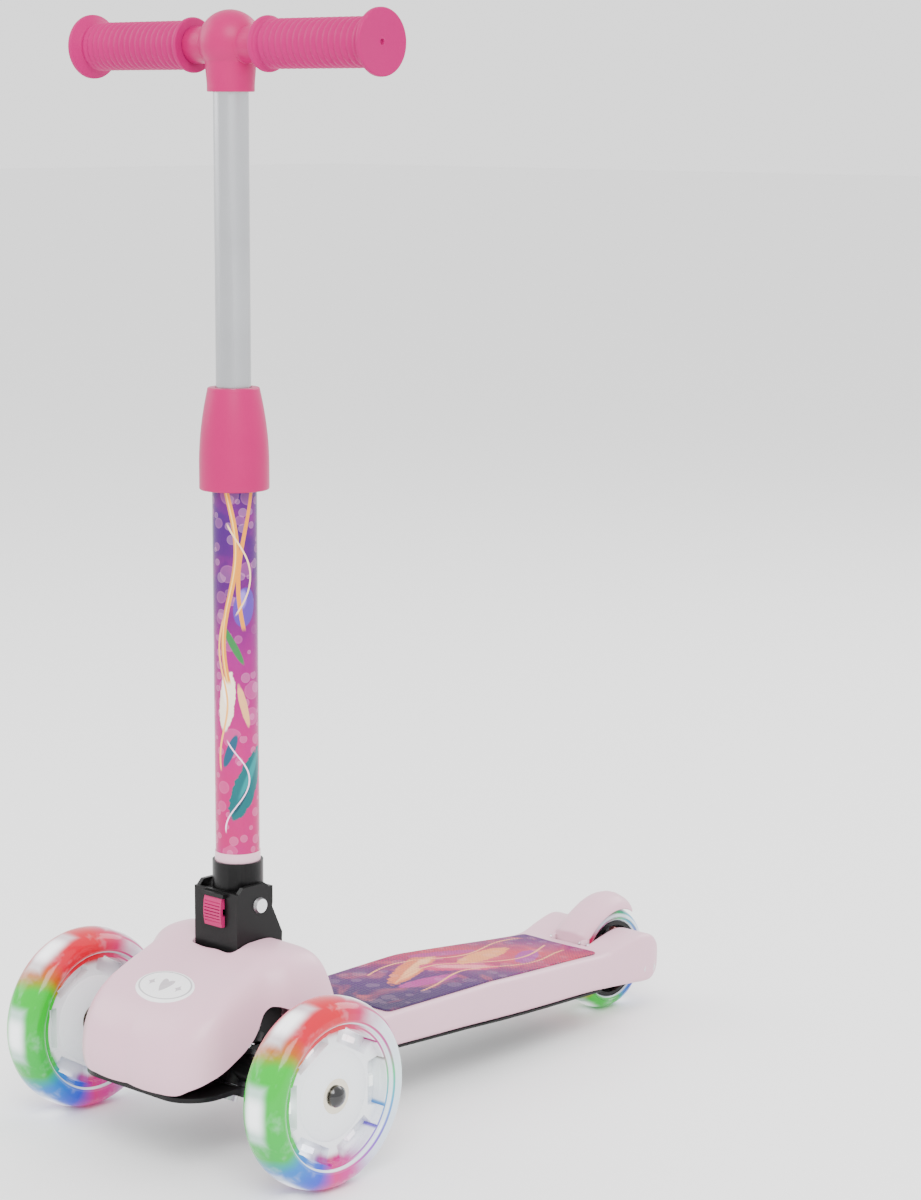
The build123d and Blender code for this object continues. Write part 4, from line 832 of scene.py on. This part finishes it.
# Ribbons: colour, middle on u, swing, pitch, phase, half-width, lower and upper end.
FILM_RIBBONS = (
    ((0.72, 0.26, 0.02), -4.0, 4.5, 120.0, 0.4, 1.9, 296, 424),
    ((0.92, 0.55, 0.14), -4.4, 4.5, 120.0, 0.4, 0.5, 296, 424),
    ((0.70, 0.24, 0.02), 7.0, 5.5, 150.0, 2.2, 1.5, 330, 424),
    ((0.95, 0.62, 0.30), 1.0, 9.0, 90.0, 1.2, 0.7, 340, 400),
    ((0.92, 0.42, 0.10), -9.0, 3.0, 70.0, 1.2, 0.8, 240, 340),
    ((0.95, 0.60, 0.85), 0.0, 8.0, 64.0, 3.6, 0.6, 200, 262),
)
GOLD = (0.75, 0.30, 0.14)
MAT_RIBBONS = (
    (GOLD, -22.0, 7.0, 120.0, 0.3, 1.0, 175, 340),
    (GOLD, 3.0, 11.0, 150.0, 2.0, 1.0, 175, 340),
    (GOLD, 22.0, 6.0, 110.0, 4.0, 1.0, 175, 340),
)


def film_print():
    """Print round the upright in millimetres round (u) and up (v): violet above to pink below, round
    lights, gold ribbons, and plain shapes of leaves, a gem and folded cloth."""
    made, tree, shader = material("upright_print", 0.2)
    face_x, face_y, film_r = 0.743, -0.669, 14.1     # level direction of the print's middle, and radius
    _, x, y, z = axes(tree, (0, stem_y, 0))
    turn = (y * face_x - x * face_y).join("ARCTAN2", x * face_x + y * face_y)
    u, v = turn * film_r, z * 1000
    flat = add(tree, "ShaderNodeCombineXYZ", X=u, Y=v).outputs[0]
    base = ramp(tree, remap(v, 187, 419, smooth=False),
                ((0.0, (0.42, 0.0, 0.11)), (0.3, (0.40, 0.0, 0.13)), (0.55, (0.22, 0.0, 0.14)),
                 (0.74, (0.07, 0.003, 0.12)), (1.0, (0.045, 0.004, 0.13))))
    mist = remap(noise(tree, flat, 0.05, 3.0), 0.4, 0.75, 0, 0.35)
    base = blend_colour(tree, mist, base, (0.34, 0.0, 0.18))
    base = blend_colour(tree, bokeh(tree, flat, 15.0, 0.16, 0.35), base, (1.0, 0.35, 0.65))
    base = blend_colour(tree, bokeh(tree, flat, 8.0, 0.20, 0.5), base, (1.0, 0.50, 0.75))
    base = painted(tree, base, flat, u, v, FILM_SPOTS, FILM_RIBBONS)
    skin = use(tree, skin_group, Grain_size=1500.0)
    surface(tree, shader, base, remap(skin["Drift"], 0, 1, 0.2, 0.27), skin["Height"], 0.00002, 0.12, 0.08)
    return made


def mat_print():
    """Print on the deck's mat in millimetres across (u) and back from the front axle (v): violet to
    orange, a dotted border, leaf and petal shapes, and a fine embossed dot grid."""
    made, tree, shader = material("mat_print", 0.15)
    _, x, y, _ = axes(tree, (0, front_y, 0))
    u, v = x * 1000, y * 1000
    flat = add(tree, "ShaderNodeCombineXYZ", X=u, Y=v).outputs[0]
    base = ramp(tree, remap(v - u * 0.9, 110, 365, smooth=False),
                ((0.0, (0.030, 0.010, 0.060)), (0.25, (0.060, 0.012, 0.10)), (0.42, (0.11, 0.010, 0.11)),
                 (0.58, (0.38, 0.004, 0.08)), (0.75, (0.48, 0.02, 0.06)), (0.88, (0.24, 0.012, 0.11)),
                 (1.0, (0.09, 0.015, 0.13))))
    mist = remap(noise(tree, flat, 0.03, 4.0, twist=1.2), 0.5, 0.75, 0, 0.5)
    base = blend_colour(tree, mist, base, (0.80, 0.12, 0.12))
    base = painted(tree, base, flat, u, v, MAT_SPOTS, MAT_RIBBONS)
    base = blend_colour(tree, bokeh(tree, flat, 13.0, 0.10, 0.6), base, (1.0, 0.62, 0.80))
    grid = add(tree, "ShaderNodeTexVoronoi", {"voronoi_dimensions": "2D"}, Vector=flat, Scale=0.36,
               Randomness=0.0)
    dot = remap(Value(tree, grid.outputs["Distance"]), 0.24, 0.38, 1, 0)
    # dots strong along the sides, which draw in beyond v = 228, and across the front
    edge = (v - 228).join("MAXIMUM", 0) * 0.097 + abs(u)
    border = remap(edge, 18, 34, 0.35, 1).join("MAXIMUM", remap(v, 170, 134))
    base = blend_colour(tree, dot * border * 0.85, base, (0.030, 0.012, 0.055))
    base = blend_colour(tree, use(tree, wear_group)["Mask"] * 0.2, base, (0.8, 0.6, 0.7))
    base = blend_colour(tree, use(tree, dust_group, Amount=0.05)["Mask"], base, (0.6, 0.56, 0.55))
    surface(tree, shader, base, remap(dot, 0, 1, 0.5, 0.4), dot, 0.0002)
    return made


MAT_HALF = np.array([(129, 42.4), (150, 43.4), (190, 44.7), (228, 45.2), (264, 42.9), (300, 39.7), (323, 37.6),
                     (353, 35.6)]) * MM


def grip_mat():
    """Mat: a sheet across and along the deck whose sides follow a fair line through its widths, with
    rounded corners and a slightly bowed rear edge, given its thickness downwards."""
    start, start_r, stop, stop_r, thick = 0.129, 0.004, 0.353, 0.005, 0.0012
    turn = np.linspace(0, pi / 2, 9)
    d = np.concatenate([start + start_r * (1 - np.cos(turn)), np.linspace(0.134, 0.3475, 76),
                        stop - stop_r * (1 - np.sin(turn))])
    width = np.interp(d, *fair(MAT_HALF, 8).T)
    for end, radius, way in ((start, start_r, 1), (stop, stop_r, -1)):
        into = np.clip(1 - way * (d - end) / radius, 0, 1)
        width = width - radius * (1 - np.sqrt(1 - into ** 2))
    across = np.sin(np.linspace(-pi / 2, pi / 2, 41))
    x = width[:, None] * across[None, :]
    bow = 0.002 * (1 - across[None, :] ** 2) * ease(d, 0.31, stop)[:, None]
    d = d[:, None] - bow
    rim = np.minimum((width[:, None] - np.abs(x)), np.minimum(d - start, stop - d)).clip(0)
    z = np.interp(d, *DECK_TOP.T) + thick - 0.0005 * np.clip(1 - rim / 0.0014, 0, 1) ** 2
    mesh = mesh_from("grip_mat_sheet", [(np.stack([x, behind(d), z], -1), False, False)],
                     inside=(0, behind(0.24), 0.0))
    sheet = piece("grip_mat_sheet", mesh, "chassis", "printed_mat", ["grip_mat"], made=mat_print())
    wall(sheet, 0.0011)
    bevel(sheet, 0.0003, 2, 50)


# ---- lit wheels
RAINBOW = (
    (0.0, (1.0, 0.0, 0.03)), (0.10, (1.0, 0.0, 0.04)), (0.14, (0.75, 0.18, 0.0)), (0.17, (0.0, 0.80, 0.02)),
    (0.33, (0.0, 0.70, 0.06)), (0.37, (0.0, 0.28, 0.95)), (0.44, (0.03, 0.07, 1.0)), (0.48, (0.95, 0.01, 0.30)),
    (0.54, (0.90, 0.02, 0.45)), (0.62, (0.28, 0.06, 0.95)), (0.70, (0.02, 0.50, 1.0)), (0.77, (0.02, 0.85, 0.25)),
    (0.85, (0.75, 0.02, 0.40)), (1.0, (1.0, 0.004, 0.03)),
)                                  # share of a turn from the top towards the front, hue
LAMPS = 6
PALE = (0.66, 0.76, 0.82)          # clear plastic where no lamp reaches it


def lit(name, centre, pale, strength, reach, edges=(), rough=0.14, turned_by=0.0):
    """Clear plastic with coloured lamps behind it. The hue follows the angle round the wheel, from
    the top towards the front. It fills the front half beyond a radius, keeps to thin lines at the
    given radii in the rear half, and pales to white at each lamp."""
    made, tree, shader = material(name, 0.25)
    moved, x, y, z = axes(tree, centre)
    bearing = (y * -1.0).join("ARCTAN2", z) * (1 / (2 * pi))
    drifted = noise(tree, moved, 30.0) * 0.06 + (bearing + (turned_by - 0.03))
    share = (drifted + 1.0).join("FRACT")
    hue = ramp(tree, share, RAINBOW)
    far = (y * y + z * z).join("SQRT")
    across = abs(x)
    patches = noise(tree, moved, 60.0, 3.0, 0.6)
    beat = (bearing * (2 * pi * LAMPS) - pi).join("COSINE")
    front_half = remap(share, 0.52, 0.62, 1, 0.14).join("MAXIMUM", remap(share, 0.86, 0.95))
    filled = front_half * remap(far, *reach)
    flank = remap(across, 0.0035, 0.0100, 0.35, 1.0).join("MAXIMUM", remap(beat, -0.6, 0.4, 1.0, 0.0))
    glow = filled * remap(patches, 0.28, 0.5, 0.8, 1.0) * flank
    for radius, half in edges:
        glow = glow.join("MAXIMUM", remap(abs(far - radius), half * 0.3, half, 0.95, 0.0))
    spark = remap(beat, 0.2, 0.95) * remap(across, 0.002, 0.0105, 1.0, 0.0) * (filled * 0.9)
    tint = blend_colour(tree, glow, pale, blend_colour(tree, 0.62, hue, (0, 0, 0)))
    tint = blend_colour(tree, spark, tint, (0.95, 0.97, 1.0))
    shine = blend_colour(tree, glow, (0.03, 0.03, 0.03), hue)
    plug(tree, blend_colour(tree, spark, shine, (2.0, 2.0, 2.0)), shader.inputs["Emission Color"])
    shader.inputs["Emission Strength"].default_value = strength
    polish = remap(patches, 0.3, 0.7, rough - 0.04, rough + 0.06)
    surface(tree, shader, tint, polish, patches, 0.00006, 0.25, 0.05)
    return made


def tyre_profile(radius, rim, half):
    """Half of a tyre's section as (across, radius): foot, straight side, then a full round tread."""
    low = radius - half * 0.62
    turn = np.linspace(0, pi / 2, 22)
    foot = ((0.0025, 0.0), (0.0012, 0.0006), (0.0003, 0.0018), (0.0, 0.0035))
    side = [(half - inwards, rim + up) for inwards, up in foot]
    tread = np.stack([half * np.cos(turn) ** 0.9, low + (radius - low) * np.sin(turn)], -1)
    right = np.vstack([side, tread])
    left = right[::-1][1:] * (-1, 1)
    return np.vstack([right, left])


def wheel_looks(name, centre, radius, rim, half, turn):
    """Lit tyre of one wheel, with thin lines of light at its rim and at its tread."""
    profile = tyre_profile(radius, rim, half)
    closed = np.vstack([profile, profile[:1]])
    mesh = mesh_from(name + "_tyre_round", [(lathe(closed, centre, 0, 144), False, True)])
    lines = ((rim + 0.002, 0.0012), (radius - 0.0035, 0.0016))
    glowing = lit(name + "_tyre_glow", centre, PALE, 0.34, (rim, rim + 0.003), lines, turned_by=turn)
    piece(name + "_tyre_round", mesh, name, "wheel_tyre", [name + "_tyre"], made=glowing)


def dress(node, made):
    """Give a CAD node its own material."""
    frame["nodes"][node].data.materials[0] = made


for side, sign in sides:
    name = "front_wheel_" + side
    centre = tuple(middle(name + "_tyre"))
    wheel_looks(name, centre, front_r, 0.045, 0.015, 0.0)
    glow = lit(name + "_core_glow", centre, (0.80, 0.83, 0.86), 0.3, (0.036, 0.041), ((0.0435, 0.0012),), 0.3)
    dress(name + "_core", glow)
    dress(name + "_leds", lit(name + "_lamp_glow", centre, (1, 1, 1), 1.2, (0.0, 0.001)))
wheel_looks("rear_wheel", tuple(rear_axle), rear_r, 0.028, 0.012, 0.80)


# ---- handlebar, collar and grips
def turned(name, profile, centre, axis, body, slot, stands_for):
    """A profile of (along, radius) turned about an axis through a centre, as one closed piece."""
    mesh = mesh_from(name, [(lathe(profile, centre, axis), False, True)])
    piece(name, mesh, body, slot, stands_for, sharp=45)


def grip(side, sign):
    """Grip: a small rounded flange, seventeen round ribs whose height is a power of a sine of the way
    along, a flare to a thin large flange, and an end face dished round a small hole."""
    bar_z = middle("grip_bar")[2]
    core_r, rib, rib_count, start, stop, bore_r = 0.0143, 0.0008, 17, 0.0380, 0.1225, 0.0095
    along = np.linspace(start, stop, rib_count * 16 + 1)
    wave = np.sin(pi * rib_count * (along - start) / (stop - start)) ** 2
    ribs = np.stack([along, core_r + rib * wave ** 0.7], -1)
    near = softened([(0.0320, bore_r), (0.0320, 0.0170), (0.0350, 0.0170), (0.0360, 0.0146),
                     (0.0378, core_r)], [0, 0.0011, 0.0011, 0.001, 0])
    flare = softened([(0.1226, core_r), (0.1236, 0.0145), (0.1262, 0.0192), (0.1266, 0.0201),
                      (0.1295, 0.0201), (0.1295, 0.0185), (0.1288, 0.0030), (0.1291, 0.0018),
                      (0.1275, 0.0014), (0.1275, 0.0)],
                     [0, 0.001, 0.0012, 0.0006, 0.0011, 0.0012, 0.0006, 0.0004, 0, 0])
    bore = [(0.1240, 0.0), (0.1240, bore_r), (0.0320, bore_r)]
    profile = np.vstack([near, ribs[1:-1], flare, bore]) * (sign, 1)
    turned("grip_rubber_" + side, profile, (0, stem_y, bar_z), 0, "upper_stem", "grip_rubber",
           ["grip_" + side])


def handlebar_hub():
    """T-piece: a ball on a slightly flared skirt turned about the upright, and on each side a stub
    turned about the bar that meets the ball through a quarter-hollow tangent to both."""
    bar_z = middle("grip_bar")[2]
    ball_z, ball_r, stub_r, fillet = bar_z + 0.0015, 0.0196, 0.0114, 0.0016
    tube_r, bar_r, skirt_r, neck_r = 0.0110, 0.0096, 0.0147, 0.0158
    low = span("handlebar_hub", 2)[0]
    start = -np.arccos(neck_r / ball_r)
    turn = np.linspace(start, pi / 2, 40)
    skirt = softened([(low, tube_r), (low, skirt_r), (low + 0.004, skirt_r), (low + 0.008, 0.0150)],
                     [0, 0.0007, 0.001, 0])
    meet = (ball_z + ball_r * sin(start), ball_r * cos(start))
    bend = fair([skirt[-1], (low + 0.0118, 0.01535), meet], 6)
    ball = np.stack([ball_z + ball_r * np.sin(turn), ball_r * np.cos(turn)], -1)
    socket = [(low + 0.018, 0.0), (low + 0.018, tube_r)]
    upright = np.vstack([socket, skirt, bend[1:], ball[1:], [(ball_z + ball_r, 0)]])
    across = sqrt((ball_r + fillet) ** 2 - (stub_r + fillet) ** 2)
    turn = np.linspace(np.arctan2(stub_r + fillet, across), pi / 2, 14)
    hollow = np.stack([across - fillet * np.cos(turn), stub_r + fillet - fillet * np.sin(turn)], -1)
    tip = softened([(0.0225, stub_r), (0.0318, stub_r), (0.0318, bar_r)], [0, 0.0007, 0])[1:]
    stub = np.vstack([[(0.0, tube_r)], hollow, tip, [(0.0, bar_r), (0.0, tube_r)]])
    grids = [(lathe(upright, (0, stem_y, 0), 2), False, True)]
    for way in (1, -1):
        grids.append((lathe(stub * (way, 1), (0, stem_y, bar_z), 0), False, True))
    mesh = mesh_from("handlebar_tee", grids)
    piece("handlebar_tee", mesh, "upper_stem", "hot_pink_plastic", ["handlebar_hub"], sharp=50)


def clamp_collar():
    """Collar: a straight skirt under a neck that draws in as a power of the height above its start,
    turned about the upright."""
    low, high = span("clamp_collar", 2)
    start, stop, drop = 0.016, 0.062, 0.0054
    outer_r, bore_r, tube_r, shoulder = 0.0220, 0.01396, 0.0116, 0.0086
    rise = np.linspace(start, stop, 32)
    neck = np.stack([low + rise, outer_r - drop * ((rise - start) / (stop - start)) ** 1.9], -1)
    top = softened([neck[-1], (high, 0.0163), (high, tube_r)], [0, 0.0012, 0])[1:]
    foot = softened([(low, bore_r), (low, outer_r), (low + 0.004, outer_r)], [0, 0.0012, 0])
    cavity = [(high - shoulder, tube_r), (high - shoulder, bore_r), (low, bore_r)]
    turned("collar_sleeve", np.vstack([foot, neck, top, cavity]), (0, stem_y, 0), 2, "clamp_collar",
           "hot_pink_plastic", ["clamp_collar"])


front_cover()
badge()
deck()
grip_mat()
brake_fender()
for side, sign in sides:
    grip(side, sign)
handlebar_hub()
clamp_collar()
dress("stem_decal", film_print())
